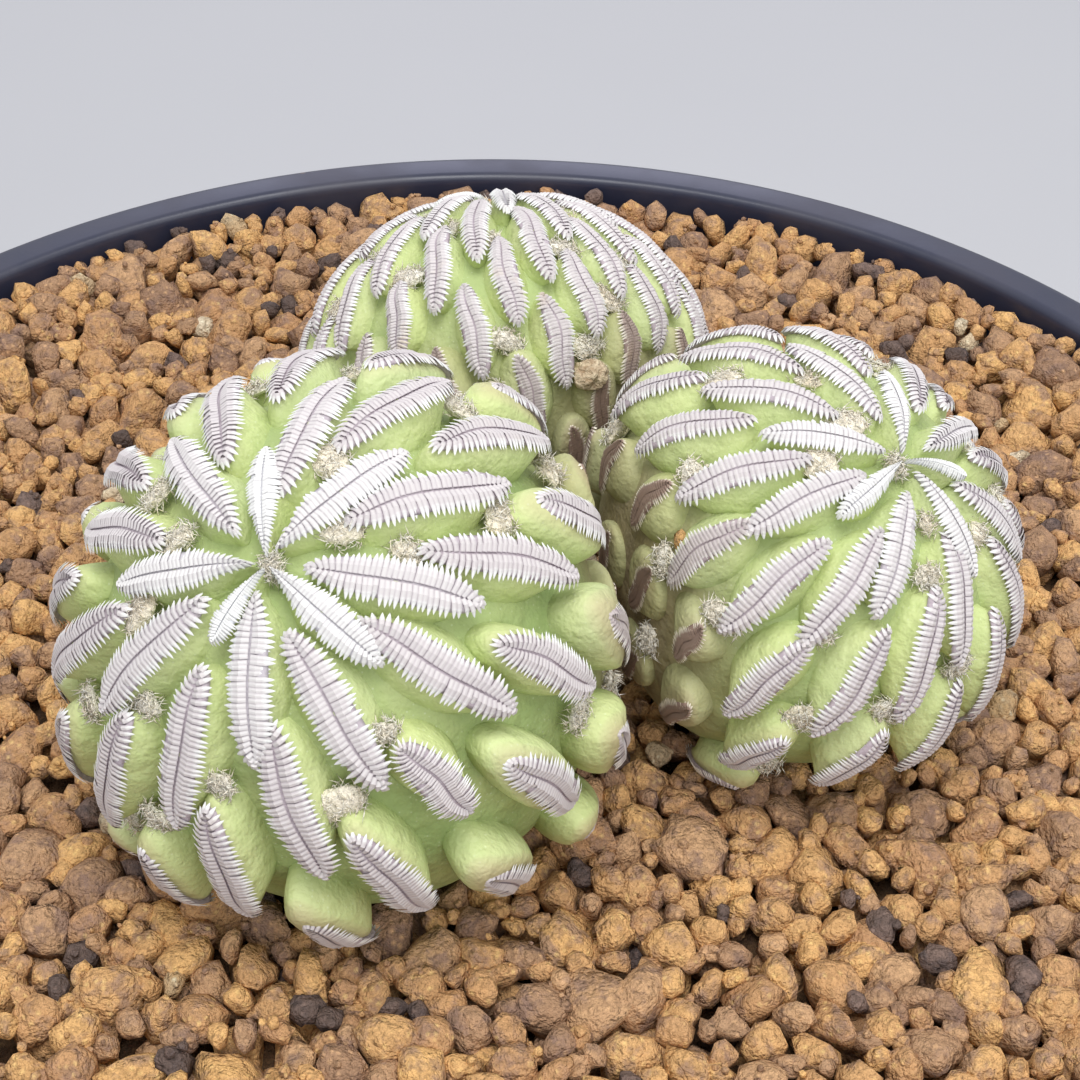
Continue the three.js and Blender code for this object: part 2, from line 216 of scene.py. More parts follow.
def length(name, description, default):
    """A length that the user may change, given in millimetres and kept in metres."""
    return bpy.props.FloatProperty(
        name=name, description=description, default=default * MM, unit="LENGTH"
    )


def colour(name, description, default):
    """A colour that the user may change, as linear red, green and blue."""
    return bpy.props.FloatVectorProperty(
        name=name, description=description, default=default, subtype="COLOR", size=3, min=0, max=1
    )


class PotSettings(bpy.types.PropertyGroup):
    """Sizes and colour of the pot."""

    height: length("Height", "From the table to the brim", 90)
    rim_radius: length("Rim radius", "Outside of the rim", 52.5)
    rim_thickness: length("Rim thickness", "Width of the rim's flat top", 3.0)
    lip_depth: length("Lip depth", "How far the thick rim reaches down outside", 7.0)
    wall: length("Wall", "Thickness of the wall", 1.3)
    base_radius: length("Base radius", "Outside of the foot", 39)
    stand_width: length("Stand width", "Width of the ring that the pot stands on", 4.5)
    stand_height: length("Stand height", "Height of that ring", 3.0)
    floor: length("Floor", "Thickness of the pot's floor", 1.8)
    corner: length("Inner corner", "Slope between floor and wall", 1.5)
    edge: length("Edge", "Rounding of the rim and foot", 0.7)
    plastic: colour("Plastic", "The pot's colour", (0.024, 0.027, 0.052))


class SoilSettings(bpy.types.PropertyGroup):
    """Sizes and colours of the granules."""

    level: length("Level", "Height of the highest granules above the table", 87.6)
    typical: length("Typical", "Middle radius of the granules", 0.92)
    largest: length("Largest", "Radius of the largest granules", 1.85)
    smallest: length("Smallest", "Radius of the smallest granules", 0.45)
    heap: length("Heap", "How much higher the granules lie along the wall", 1.5)
    seed: bpy.props.IntProperty(name="Seed", description="Which way the granules fall", default=7)
    clay: colour("Clay", "Most granules", (0.67, 0.37, 0.16))
    brown: colour("Brown", "Moist granules", (0.50, 0.29, 0.165))
    dark: colour("Dark", "Weathered granules", (0.17, 0.115, 0.095))
    pale: colour("Pale", "Pumice and sand grains", (0.62, 0.46, 0.28))


class PlantSettings(bpy.types.PropertyGroup):
    """Sizes and colours of the plant."""

    rise: length("Rise", "Height of a tubercle above the stem", 2.6)
    sink: length("Sink", "How deep a tubercle is rooted in the stem", 0.9)
    spine_pitch: length("Spine pitch", "From one spine to the next along a comb", 0.25)
    wool_length: length("Wool length", "Hairs of the wool between the tubercles", 0.85)
    seed: bpy.props.IntProperty(name="Seed", description="Small unevenness of the plant", default=3)
    flesh: colour("Flesh", "Green of the tubercles", (0.58, 0.66, 0.29))
    # Painted shade: the darker green that the flesh takes towards the hollows between the
    # tubercles.
    painted_hollow_shade: colour("Hollow", "Green deep between the tubercles", (0.17, 0.27, 0.05))
    comb: colour("Comb", "Full-grown combs", (0.60, 0.56, 0.555))
    tip: colour("Tip", "Spine tips and young combs", (0.83, 0.84, 0.82))
    withered: colour("Withered", "Dried combs between the heads", (0.25, 0.165, 0.125))
    wool: colour("Wool", "Hairs between the tubercles", (0.98, 0.88, 0.70))


class StageSettings(bpy.types.PropertyGroup):
    """Floor and light."""

    floor: colour("Floor", "The plain floor", (0.50, 0.50, 0.52))
    key: bpy.props.FloatProperty(name="Key light", description="Watts", default=2.05, min=0)
    fill: bpy.props.FloatProperty(name="Fill light", description="Watts", default=1.1, min=0)
    back: bpy.props.FloatProperty(name="Back light", description="Watts", default=1.15, min=0)
    sky: bpy.props.FloatProperty(name="Sky", description="Even light", default=0.74, min=0)


# Vectors and noise


def unit(vectors):
    """Each vector divided by its own length."""
    return vectors / np.linalg.norm(vectors, axis=-1, keepdims=True)


def smooth_step(low, high, value):
    """0 below low and 1 above high, with the cubic 3 t^2 - 2 t^3 between them."""
    t = np.clip((value - low) / (high - low), 0, 1)
    return t * t * (3 - 2 * t)


def ripple(points, size, seed):
    """Smooth unevenness from -1 to 1: a sum of six sine waves of random heading and phase, size
    apart."""
    random = np.random.default_rng(seed)
    headings = unit(random.normal(size=(6, 3)))
    phases = random.uniform(0, TURN, 6)
    stretch = random.uniform(0.6, 1.6, 6)
    return np.sin(points @ headings.T * (TURN / size * stretch) + phases).mean(axis=-1) * 1.7


# Meshes


def tubes(points, first, last):
    """Closed tubes from rings of points shaped (tube, ring, around, 3), joined ring to ring by
    quads, with each end drawn together in one point. Rings run anticlockwise seen from the last
    one."""
    count, rings, around, _ = points.shape
    vertices = np.concatenate([points.reshape(-1, 3), first, last])
    tube = (np.arange(count) * rings * around)[:, None, None]
    ring = (np.arange(rings - 1) * around)[None, :, None]
    here = np.arange(around)[None, None, :]
    after = (here + 1) % around
    low = tube + ring
    quads = np.stack([low + here, low + after, low + around + after, low + around + here], axis=-1)
    start = (count * rings * around + np.arange(count))[:, None]
    foot = tube[:, 0]
    top = foot + (rings - 1) * around
    spread = np.zeros_like(here[0])
    bottom_fan = np.stack([foot + after[0], foot + here[0], start + spread], axis=-1)
    top_fan = np.stack([top + here[0], top + after[0], start + count + spread], axis=-1)
    return vertices, [quads.reshape(-1, 4), bottom_fan.reshape(-1, 3), top_fan.reshape(-1, 3)]


def joined(parts):
    """Several (vertices, faces) pairs as one, with the face numbers moved on."""
    vertices = []
    faces = []
    offset = 0
    for points, groups in parts:
        vertices.append(points)
        faces.extend(group + offset for group in groups)
        offset += len(points)
    return np.concatenate(vertices), faces


def make_piece(name, vertices, faces, material, values=None, smooth=True):
    """Puts millimetre points and index rows into a mesh object in metres, with named vertex
    values."""
    old = bpy.data.objects.get(name)
    if old is not None and old.get("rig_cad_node") is None:
        bpy.data.objects.remove(old)
    mesh = bpy.data.meshes.new(name)
    loops = np.concatenate([group.ravel() for group in faces]).astype(np.int32)
    sizes = np.concatenate([np.full(len(group), group.shape[1]) for group in faces])
    starts = np.concatenate([[0], np.cumsum(sizes)[:-1]]).astype(np.int32)
    mesh.vertices.add(len(vertices))
    mesh.vertices.foreach_set("co", (vertices * MM).astype(np.float32).ravel())
    mesh.loops.add(len(loops))
    mesh.loops.foreach_set("vertex_index", loops)
    mesh.polygons.add(len(sizes))
    mesh.polygons.foreach_set("loop_start", starts)
    mesh.polygons.foreach_set("use_smooth", np.full(len(sizes), smooth))
    for key, value in (values or {}).items():
        layer = mesh.attributes.new(key, "FLOAT", "POINT")
        layer.data.foreach_set("value", np.asarray(value, np.float32).ravel())
    mesh.update(calc_edges=True)
    mesh.validate()
    mesh.materials.append(material)
    piece = bpy.data.objects.new(name, mesh)
    bpy.context.scene.collection.objects.link(piece)
    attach(piece, BODY)
    return piece


def filleted(section, cut, steps=4):
    """The section with each inner corner rounded by a quadratic curve that starts and ends cut
    away from the corner, or at half of the shorter side beside it."""
    rounded = [section[0]]
    for trio in zip(section, section[1:], section[2:]):
        before, corner, after = (np.array(point, float) for point in trio)
        reach = min(cut, np.linalg.norm(before - corner) / 2, np.linalg.norm(after - corner) / 2)
        start = corner + unit(before - corner) * reach
        end = corner + unit(after - corner) * reach
        for t in np.linspace(0, 1, steps + 1):
            rounded.append((1 - t) ** 2 * start + 2 * t * (1 - t) * corner + t * t * end)
    rounded.append(section[-1])
    return np.array(rounded, float)


def lathe(section, around):
    """A closed turned solid: the section [radius, height] runs anticlockwise from the axis to the
    axis."""
    angle = np.linspace(0, TURN, around, endpoint=False)
    radius = section[1:-1, 0][:, None]
    height = section[1:-1, 1][:, None] + 0 * angle
    rings = np.stack([radius * np.cos(angle), radius * np.sin(angle), height], axis=-1)
    first = np.array([[0, 0, section[0, 1]]])
    last = np.array([[0, 0, section[-1, 1]]])
    return tubes(rings[None], first, last)


# Growth


def crown_axes(head, n):
    """The crown's direction when tubercle n formed, and two directions across it: the head's lean
    and heading plus the drift for n, with across = crown x up and downhill = crown x across."""
    lean = math.radians(head["lean"])
    heading = math.radians(head["heading"])
    step = n / DRIFT_SPAN
    crown = np.stack([
        math.sin(lean) * math.cos(heading) + head["drift"][0] * step,
        math.sin(lean) * math.sin(heading) + head["drift"][1] * step,
        np.full_like(step, math.cos(lean)),
    ], axis=-1)
    crown = unit(crown)
    across = unit(np.cross(crown, [0, 0, 1]))
    return crown, across, np.cross(crown, across)


def polar_angle(head, n):
    """The angle from the crown to tubercle n: arccos(1 - rate * (n + start) ** power)."""
    return np.arccos(np.clip(1 - head["rate"] * (n + head["start"]) ** head["power"], -1, 1))


def azimuth(head, n):
    """The angle of tubercle n round the crown: phase plus or minus n times the divergence."""
    return np.radians(head["phase"] + head["winding"] * head["divergence"] * n)


def grown(n):
    """How grown comb n is: 1 - newborn * exp(-n / ripening)."""
    return 1 - GROWTH["newborn"] * np.exp(-n / GROWTH["ripening"])


def aged(n):
    """How old comb n is, a smooth step from 0 to 1."""
    return smooth_step(GROWTH["age_from"], GROWTH["age_to"], n)


def worn(head, n):
    """How worn tubercle n is, from 0 for a low ridge to 1 for a knob with a bare nose."""
    return smooth_step(*head["wearing"], n)


def half_comb(head, n):
    """Half the length of comb n."""
    share = np.ones_like(n)
    for number, size in head["stunted"].items():
        share = np.where(n == number, size, share)
    return head["comb_length"] / 2 * share * grown(n) * (1 - head["shrink"] * aged(n))


def room(head, n):
    """The side of the square that each tubercle has on the head: the square root of the surface 2
    pi r^2 d(1 - cos(polar)) / dn."""
    growth = head["rate"] * head["power"] * (n + head["start"]) ** (head["power"] - 1)
    return np.sqrt(TURN * head["radius"] ** 2 * growth)


def sphere_point(head, axes, polar, turn, depth, sideways):
    """centre + crown * reach * cos(polar) + outward * reach * sin(polar) + aside * sideways,
    where reach = radius * (1 + widening * sin(polar)^2) - depth and outward lies at the angle
    turn."""
    crown, across, downhill = axes
    outward = across * np.cos(turn)[..., None] + downhill * np.sin(turn)[..., None]
    aside = downhill * np.cos(turn)[..., None] - across * np.sin(turn)[..., None]
    reach = head["radius"] * (1 + head["widening"] * np.sin(polar) ** 2) - depth
    return (
        np.array(head["centre"])
        + crown * (reach * np.cos(polar))[..., None]
        + outward * (reach * np.sin(polar))[..., None]
        + aside * sideways[..., None]
    )


def neighbours(name):
    """For each other head: the direction to it, and how far this head reaches before they
    touch."""
    centre = np.array(HEADS[name]["centre"])
    reach = HEADS[name]["radius"] * (1 + HEADS[name]["widening"])
    for other, head in HEADS.items():
        if other != name:
            gap = np.array(head["centre"]) - centre
            apart = np.linalg.norm(gap)
            theirs = head["radius"] * (1 + head["widening"])
            yield gap / apart, (apart + (reach**2 - theirs**2) / apart) / 2 - CLEARANCE / 2


def eased(distance, limit, depth):
    """A distance that bends over exponentially in its last stretch and never passes the limit."""
    start = limit - depth
    over = np.minimum(0, (start - distance) / depth)
    return np.where(distance > start, start + depth * (1 - np.exp(over)), distance)


def pressed(points, name):
    """Points flattened where the head meets its neighbours."""
    points = points.copy()
    centre = np.array(HEADS[name]["centre"])
    for towards, limit in neighbours(name):
        along = (points - centre) @ towards
        points += (eased(along, limit, PRESS_DEPTH) - along)[..., None] * towards
    return points


def crowding(points, name, reach):
    """How near points come to a neighbouring head: 0 from reach away, 1 at the contact."""
    centre = np.array(HEADS[name]["centre"])
    return np.maximum.reduce([
        smooth_step(reach, 0.0, limit - (points - centre) @ towards)
        for towards, limit in neighbours(name)
    ])


def on_head(name, n, local, soil_level):
    """Places points given as [along the comb, aside, height above the comb] on tubercle n. Along
    runs down the head from the comb's middle. Towards the crown it is drawn together so that no
    comb passes the crown, and sideways it narrows there, because combs meet in the crown."""
    head = HEADS[name]
    shape = (-1,) + (1,) * (local.ndim - 2)
    axes = tuple(axis.reshape(shape + (3,)) for axis in crown_axes(head, n))
    polar = polar_angle(head, n).reshape(shape)
    turn = azimuth(head, n).reshape(shape)
    half = half_comb(head, n).reshape(shape)
    slip = (head["slip"] * aged(n)).reshape(shape)
    along = local[..., 0] + slip
    inward = np.minimum(1, head["radius"] * polar * (1 - CROWN_GAP) / half)
    along = np.where(along < 0, along * inward, along)
    reached = polar + along / head["radius"]
    reached = np.maximum(reached, NEAREST_POLAR)
    narrow = np.clip(head["radius"] * np.sin(reached) / CROWN_WIDTH, 0.1, 1) ** 0.75
    narrow = np.broadcast_to(narrow, local.shape[:-1])
    turn = np.broadcast_to(turn, local.shape[:-1])
    depth, sideways = SKIN_DEPTH - local[..., 2], local[..., 1] * narrow
    points = pressed(sphere_point(head, axes, reached, turn, depth, sideways), name)
    floor = soil_level + CLEARANCE
    points[..., 2] = -eased(-points[..., 2], -floor, LIFT_DEPTH)
    return points


def standing(name, soil_level):
    """The numbers of the tubercles that show: above the soil and not squeezed flat by a
    neighbour."""
    head = HEADS[name]
    n = np.arange(0, MOST_TUBERCLES, dtype=float)
    n = n[polar_angle(head, n) < FURTHEST_POLAR]
    polar = polar_angle(head, n)
    zero = np.zeros_like(polar)
    middle = sphere_point(head, crown_axes(head, n), polar, azimuth(head, n), zero, zero)
    centre = np.array(head["centre"])
    keep = middle[:, 2] > soil_level + LOWEST_MIDDLE
    for towards, limit in neighbours(name):
        keep &= (middle - centre) @ towards < limit + SQUEEZED
    keep &= np.linalg.norm(middle - fruit_place(), axis=1) > FRUIT_ROOM
    return n[keep], middle[keep]


def stem_place(name, polar, turn, depth):
    """A place on a head, by its angles in degrees from the crown and round it, and its depth."""
    head = HEADS[name]
    axes = tuple(axis[0] for axis in crown_axes(head, np.zeros(1)))
    polar, turn = np.radians([polar, turn])
    return sphere_point(head, axes, polar, turn, depth, np.array(0.0))


def fruit_place():
    """Where the dried fruit is caught, low on the front of the back head."""
    return stem_place("head_back", 93.5, -68.5, 1.1)


def bare_share(name, n, shrunk):
    """The share of each old comb's run, at its inner end, that has no spines any more: up to
    0.22, by wear and by chance, and less where heads touch."""
    random = np.random.default_rng(len(name))
    chance = random.uniform(0.2, 1.0, MOST_TUBERCLES)[n.astype(int)]
    return 0.22 * worn(HEADS[name], n) * chance * (1 - 5 * (1 - shrunk))


def ridge(t, age):
    """Height of a comb's crest along its run t, from -1 at the crown's end to 1 outside. The
    inner end sinks by 0.45 |t|^2.5 and the outer end by 0.25 t^2.5. With age the comb tilts
    outwards by 0.25 t, its outer end curls down by 0.3 t^2.5 more and its inner end sinks
    less."""
    inner = (0.45 - 0.35 * age) * np.clip(-t, 0, 1.7) ** 2.5
    outer = (0.25 + 0.3 * age) * np.clip(t, 0, 1.4) ** 2.5
    return -inner - outer - 0.25 * age * t


def outline(t):
    """Half the width of a comb along its run as a share of the full width: (1 - |t|^2)^0.6
    towards the crown and the blunter (1 - t^3)^0.5 outwards."""
    inner = np.clip(1 - np.abs(t) ** 2, 0, 1) ** 0.6
    outer = np.clip(1 - np.abs(t) ** 3, 0, 1) ** 0.5
    return np.where(t < 0, inner, outer)


def arch(run):
    """Height of a comb's cross-section from its middle line, 0, to a spine's tip, 1: it rises as
    a sine beside the groove in the middle and bends down by 0.3 run^3 at the tips."""
    return 0.02 + 0.14 * np.sin(np.minimum(run, 0.8) / 0.8 * math.pi * 0.85) - 0.3 * run**3


# Nodes


FLOAT = "NodeSocketFloat"
VECTOR = "NodeSocketVector"


def feed(tree, node, inputs):
    """Sets or links a node's inputs, named by name or number. Colours are given without alpha."""
    for key, value in inputs.items():
        if isinstance(value, bpy.types.NodeSocket):
            tree.links.new(value, node.inputs[key])
        elif node.inputs[key].type == "RGBA":
            node.inputs[key].default_value = (*value, 1.0)
        else:
            node.inputs[key].default_value = value
    return node


def add_node(tree, kind, inputs, **settings):
    """Adds a node, sets its options, and sets or links its inputs."""
    node = tree.nodes.new(kind)
    for key, value in settings.items():
        setattr(node, key, value)
    return feed(tree, node, inputs)


def maths(tree, operation, *values):
    """A value worked out from two or three others."""
    node = add_node(tree, "ShaderNodeMath", dict(enumerate(values)), operation=operation)
    return node.outputs[0]


def noise(tree, vector, scale, detail, roughness=0.5):
    """Fractal noise."""
    inputs = {"Vector": vector, "Scale": scale, "Detail": detail, "Roughness": roughness}
    return add_node(tree, "ShaderNodeTexNoise", inputs).outputs["Fac"]


def ranged(tree, value, low, high, to_low=0.0, to_high=1.0):
    """A value stretched from low..high to to_low..to_high, and held at the ends."""
    labels = ("Value", "From Min", "From Max", "To Min", "To Max")
    inputs = dict(zip(labels, (value, low, high, to_low, to_high)))
    return add_node(tree, "ShaderNodeMapRange", inputs).outputs["Result"]


def mottle_mask(group, vector, scale, low, high):
    """Soft patches: noise at Scale, stretched so that Low becomes 0 and High becomes 1."""
    return ranged(group, noise(group, vector, scale, 4.0, 0.6), low, high)


def speckle_mask(group, vector, scale, size, share):
    """Scattered dots: 1 within Size of the points of a cell pattern at Scale, for a Share of the
    cells."""
    cells = add_node(group, "ShaderNodeTexVoronoi", {"Vector": vector, "Scale": scale})
    inside = ranged(group, cells.outputs["Distance"], size, 0.0)
    tone = add_node(group, "ShaderNodeSeparateColor", {"Color": cells.outputs["Color"]})
    chosen = maths(group, "LESS_THAN", tone.outputs[0], share)
    return maths(group, "MULTIPLY", inside, chosen)


def grit_height(group, vector, coarse, fine, share):
    """Bump height of a rough surface: coarse noise plus fine noise by its Share."""
    first = noise(group, vector, coarse, 3.0)
    second = noise(group, vector, fine, 2.0)
    return maths(group, "MULTIPLY_ADD", second, share, first)


# Each shared effect: the function that makes it, its output, and its inputs after Vector with
# their defaults.
EFFECTS = {
    "Mottle": (mottle_mask, "Mask", {"Scale": 500.0, "Low": 0.35, "High": 0.65}),
    "Speckle": (speckle_mask, "Mask", {"Scale": 2000.0, "Size": 0.25, "Share": 0.4}),
    "Grit": (grit_height, "Height", {"Coarse": 900.0, "Fine": 4000.0, "Share": 0.4}),
}


def effect_group(name):
    """The shared shader node group of that name, built once."""
    if name in bpy.data.node_groups:
        return bpy.data.node_groups[name]
    maker, result, defaults = EFFECTS[name]
    group = bpy.data.node_groups.new(name, "ShaderNodeTree")
    group.interface.new_socket("Vector", in_out="INPUT", socket_type=VECTOR)
    for label, default in defaults.items():
        group.interface.new_socket(label, in_out="INPUT", socket_type=FLOAT).default_value = default
    group.interface.new_socket(result, in_out="OUTPUT", socket_type=FLOAT)
    start = group.nodes.new("NodeGroupInput")
    end = group.nodes.new("NodeGroupOutput")
    sockets = [start.outputs[label] for label in ("Vector", *defaults)]
    group.links.new(maker(group, *sockets), end.inputs[result])
    return group


def effect(tree, name, place, *values):
    """Places a shared effect in a material, with the values of its inputs in their order."""
    node = tree.nodes.new("ShaderNodeGroup")
    node.node_tree = effect_group(name)
    inputs = {"Vector": place, **dict(zip(EFFECTS[name][2], values))}
    return feed(tree, node, inputs).outputs[0]


# Material parts


def blank_material(name):
    """A new material with a Principled shader, and its Object coordinates."""
    old = bpy.data.materials.get(name)
    if old is not None:
        bpy.data.materials.remove(old)
    material = bpy.data.materials.new(name)
    material.use_nodes = True
    tree = material.node_tree
    tree.nodes.clear()
    shader = tree.nodes.new("ShaderNodeBsdfPrincipled")
    output = tree.nodes.new("ShaderNodeOutputMaterial")
    tree.links.new(shader.outputs[0], output.inputs[0])
    place = tree.nodes.new("ShaderNodeTexCoord").outputs["Object"]
    return material, tree, shader, place


def mixed(tree, factor, first, second):
    """A colour mixed by a factor. Each of the three may be a socket or a plain value."""
    inputs = {0: factor, 6: first, 7: second}
    return add_node(tree, "ShaderNodeMix", inputs, data_type="RGBA").outputs[2]


def attribute(tree, name):
    """A vertex value of the piece, by name."""
    return add_node(tree, "ShaderNodeAttribute", {}, attribute_name=name).outputs["Fac"]


def times(tree, first, second):
    """The product of two values."""
    return maths(tree, "MULTIPLY", first, second)


def bumped(tree, shader, height, strength, distance):
    """Feeds a bump of the given depth in millimetres to the shader's normal."""
    inputs = {"Height": height, "Strength": strength, "Distance": distance * MM}
    bump = add_node(tree, "ShaderNodeBump", inputs)
    tree.links.new(bump.outputs["Normal"], shader.inputs["Normal"])


# Materials


def plastic_material(pot):
    """Near-black moulded plastic with a faint grain, and a thin film of clay dust in patches."""
    material, tree, shader, place = blank_material("pot_plastic")
    dust = effect(tree, "Mottle", place, 120.0, 0.45, 0.8)
    specks = effect(tree, "Speckle", place, 420.0, 0.12, 0.12)
    film = mixed(tree, times(tree, dust, 0.12), pot.plastic, (0.16, 0.12, 0.10))
    spotted = mixed(tree, times(tree, specks, 0.7), film, (0.30, 0.19, 0.11))
    feed(tree, shader, {"Base Color": spotted, "Roughness": ranged(tree, dust, 0, 1, 0.34, 0.55)})
    bumped(tree, shader, effect(tree, "Grit", place, 700.0, 3500.0, 0.5), 0.25, 0.03)
    return material


def granule_material(name, base, bright, dim, stain):
    """Rough fired clay: each granule has its own tone, with weathered patches, brown stains,
    crumbs, pits, pale dust and dark specks."""
    material, tree, shader, place = blank_material(name)
    paint = mixed(tree, attribute(tree, "tone"), dim, bright)
    layers = (
        ("Mottle", (620.0, 0.42, 0.62), 0.5, base),
        ("Mottle", (780.0, 0.5, 0.64), 0.72, stain),
        ("Mottle", (2600.0, 0.46, 0.62), 0.42, tuple(c * 0.45 for c in base)),
        ("Speckle", (2600.0, 0.3, 0.2), 0.7, tuple(c * 0.4 for c in dim)),
        ("Speckle", (2500.0, 0.45, 0.3), 0.6, tuple(min(1, c * 1.4) for c in bright)),
    )
    for kind, values, strength, tint in layers:
        mask = effect(tree, kind, place, *values)
        paint = mixed(tree, times(tree, mask, strength), paint, tint)
    feed(tree, shader, {"Base Color": paint, "Roughness": 0.92, "Specular IOR Level": 0.25})
    crumbly = {"Vector": place, "Scale": 1500.0, "Smoothness": 0.6}
    pits = add_node(tree, "ShaderNodeTexVoronoi", crumbly, feature="SMOOTH_F1")
    grit = effect(tree, "Grit", place, 2300.0, 6400.0, 0.5)
    rough = maths(tree, "MULTIPLY_ADD", pits.outputs["Distance"], -0.55, grit)
    bumped(tree, shader, rough, 1.0, 0.5)
    return material


def flesh_material(plant):
    """Matt green skin: pale on the tubercles and darker green down into the hollows as painted
    shade, with faint streaks and fine white dots, brownish beside worn combs, browned and corky
    where it has withered."""
    material, tree, shader, place = blank_material("cactus_flesh")
    height = attribute(tree, "height")
    # Painted shade: the green darkens from the flesh colour to the hollow shade as the height
    # attribute falls into the hollows.
    green = mixed(tree, ranged(tree, height, 0.1, 0.75), plant.painted_hollow_shade, plant.flesh)
    tone = ranged(tree, attribute(tree, "tone"), 0, 1, 0, 0.4)
    toned = mixed(tree, tone, green, (0.58, 0.66, 0.40))
    patches = effect(tree, "Mottle", place, 320.0, 0.4, 0.75)
    yellowed = mixed(tree, times(tree, patches, 0.3), toned, (0.66, 0.66, 0.33))
    dots = effect(tree, "Speckle", place, 4200.0, 0.28, 0.35)
    dotted = mixed(tree, times(tree, dots, 0.4), yellowed, (0.80, 0.86, 0.66))
    veins = effect(tree, "Mottle", place, 1100.0, 0.48, 0.7)
    veined = mixed(tree, times(tree, veins, 0.22), dotted, (0.40, 0.52, 0.18))
    cork = effect(tree, "Mottle", place, 700.0, 0.3, 0.6)
    corky = mixed(tree, cork, plant.withered, (0.33, 0.235, 0.15))
    rim = times(tree, ranged(tree, height, 0.86, 0.99), times(tree, attribute(tree, "age"), 0.55))
    rimmed = mixed(tree, rim, veined, (0.46, 0.33, 0.22))
    skin = mixed(tree, attribute(tree, "dry"), rimmed, corky)
    feed(tree, shader, {"Base Color": skin, "Roughness": 0.6, "Specular IOR Level": 0.35})
    grain = effect(tree, "Grit", place, 1100.0, 5200.0, 0.3)
    bumped(tree, shader, maths(tree, "MULTIPLY_ADD", patches, 1.4, grain), 0.7, 0.2)
    return material


def comb_material(plant):
    """Chalky spines: a mauve middle line, lilac-grey outwards with painted shade darkening the
    seams between the spines, and white tips. Young combs are white throughout, old ones have cream
    and brown patches, withered ones are brown with cream tips."""
    material, tree, shader, place = blank_material("comb_spines")
    run, age, young, dry, tone, edge = (
        attribute(tree, name) for name in ("run", "age", "young", "dry", "tone", "edge")
    )
    root = mixed(tree, ranged(tree, run, 0.0, 0.1), (0.34, 0.26, 0.31), plant.comb)
    toned = mixed(tree, ranged(tree, tone, 0, 1, 0, 0.3), root, (0.48, 0.43, 0.45))
    pale = mixed(tree, times(tree, young, 0.9), toned, plant.tip)
    tipped = mixed(tree, ranged(tree, run, 0.6, 0.85), pale, plant.tip)
    # Painted shade: each spine darkens towards its edges, where it meets its neighbours, less on
    # young combs.
    painted_seam_shade = times(tree, ranged(tree, edge, 0.35, 1.0), ranged(tree, young, 0, 0.8, 0.58, 0.3))
    seam_shaded = mixed(tree, painted_seam_shade, tipped, (0.42, 0.36, 0.39))
    stain = times(tree, effect(tree, "Mottle", place, 330.0, 0.6, 0.76), times(tree, age, 0.7))
    stained = mixed(tree, stain, seam_shaded, (0.62, 0.47, 0.31))
    brown = mixed(tree, ranged(tree, run, 0.6, 0.9), plant.withered, (0.84, 0.76, 0.63))
    chalk = mixed(tree, dry, stained, brown)
    feed(tree, shader, {"Base Color": chalk, "Roughness": 0.65, "Specular IOR Level": 0.3})
    bumped(tree, shader, effect(tree, "Grit", place, 5000.0, 14000.0, 0.5), 0.3, 0.03)
    return material


def core_material(plant):
    """The scaly mauve plate under the spines, lighter on young combs and brown on withered
    ones."""
    material, tree, shader, place = blank_material("comb_plate")
    scales = effect(tree, "Mottle", place, 2600.0, 0.35, 0.65)
    mauve = mixed(tree, scales, (0.38, 0.31, 0.35), (0.50, 0.43, 0.47))
    pale = mixed(tree, times(tree, attribute(tree, "young"), 0.85), mauve, (0.74, 0.77, 0.80))
    plate = mixed(tree, attribute(tree, "dry"), pale, plant.withered)
    feed(tree, shader, {"Base Color": plate, "Roughness": 0.8})
    bumped(tree, shader, scales, 0.5, 0.05)
    return material


def wool_material(plant):
    """Dull matted hairs, white to cream with some amber stains, and a fibrous bump."""
    material, tree, shader, place = blank_material("axil_wool")
    base = mixed(tree, attribute(tree, "tone"), plant.wool, (0.99, 0.95, 0.86))
    patches = times(tree, effect(tree, "Mottle", place, 420.0, 0.54, 0.74), 0.4)
    hairs = mixed(tree, patches, base, (0.74, 0.56, 0.37))
    feed(tree, shader, {"Base Color": hairs, "Roughness": 0.9, "Sheen Weight": 0.3})
    bumped(tree, shader, effect(tree, "Grit", place, 3600.0, 9000.0, 0.6), 1.0, 0.22)
    return material


def fruit_material():
    """Tan, wrinkled and dry, with dark creases."""
    material, tree, shader, place = blank_material("dried_fruit")
    creases = effect(tree, "Mottle", place, 1900.0, 0.35, 0.6)
    skin = mixed(tree, creases, (0.40, 0.27, 0.16), (0.80, 0.66, 0.46))
    feed(tree, shader, {"Base Color": skin, "Roughness": 0.85})
    bumped(tree, shader, creases, 0.8, 0.25)
    return material


def bark_material():
    """Corky root skin with rings of wrinkles and clay dust."""
    material, tree, shader, place = blank_material("root_bark")
    waves = {"Vector": place, "Scale": 260.0, "Distortion": 5.0, "Detail": 3.0}
    bands = {"wave_type": "BANDS", "bands_direction": "Z"}
    wrinkles = add_node(tree, "ShaderNodeTexWave", waves, **bands).outputs["Fac"]
    skin = mixed(tree, wrinkles, (0.20, 0.13, 0.08), (0.42, 0.31, 0.20))
    feed(tree, shader, {"Base Color": skin, "Roughness": 0.9})
    bumped(tree, shader, wrinkles, 0.6, 0.3)
    return material


def floor_material(stage):
    """A plain pale floor with a barely visible unevenness."""
    material, tree, shader, place = blank_material("floor_paint")
    shade = tuple(c * 0.97 for c in stage.floor)
    paint = mixed(tree, effect(tree, "Mottle", place, 6.0, 0.3, 0.7), stage.floor, shade)
    feed(tree, shader, {"Base Color": paint, "Roughness": 0.75})
    return material


# Pot


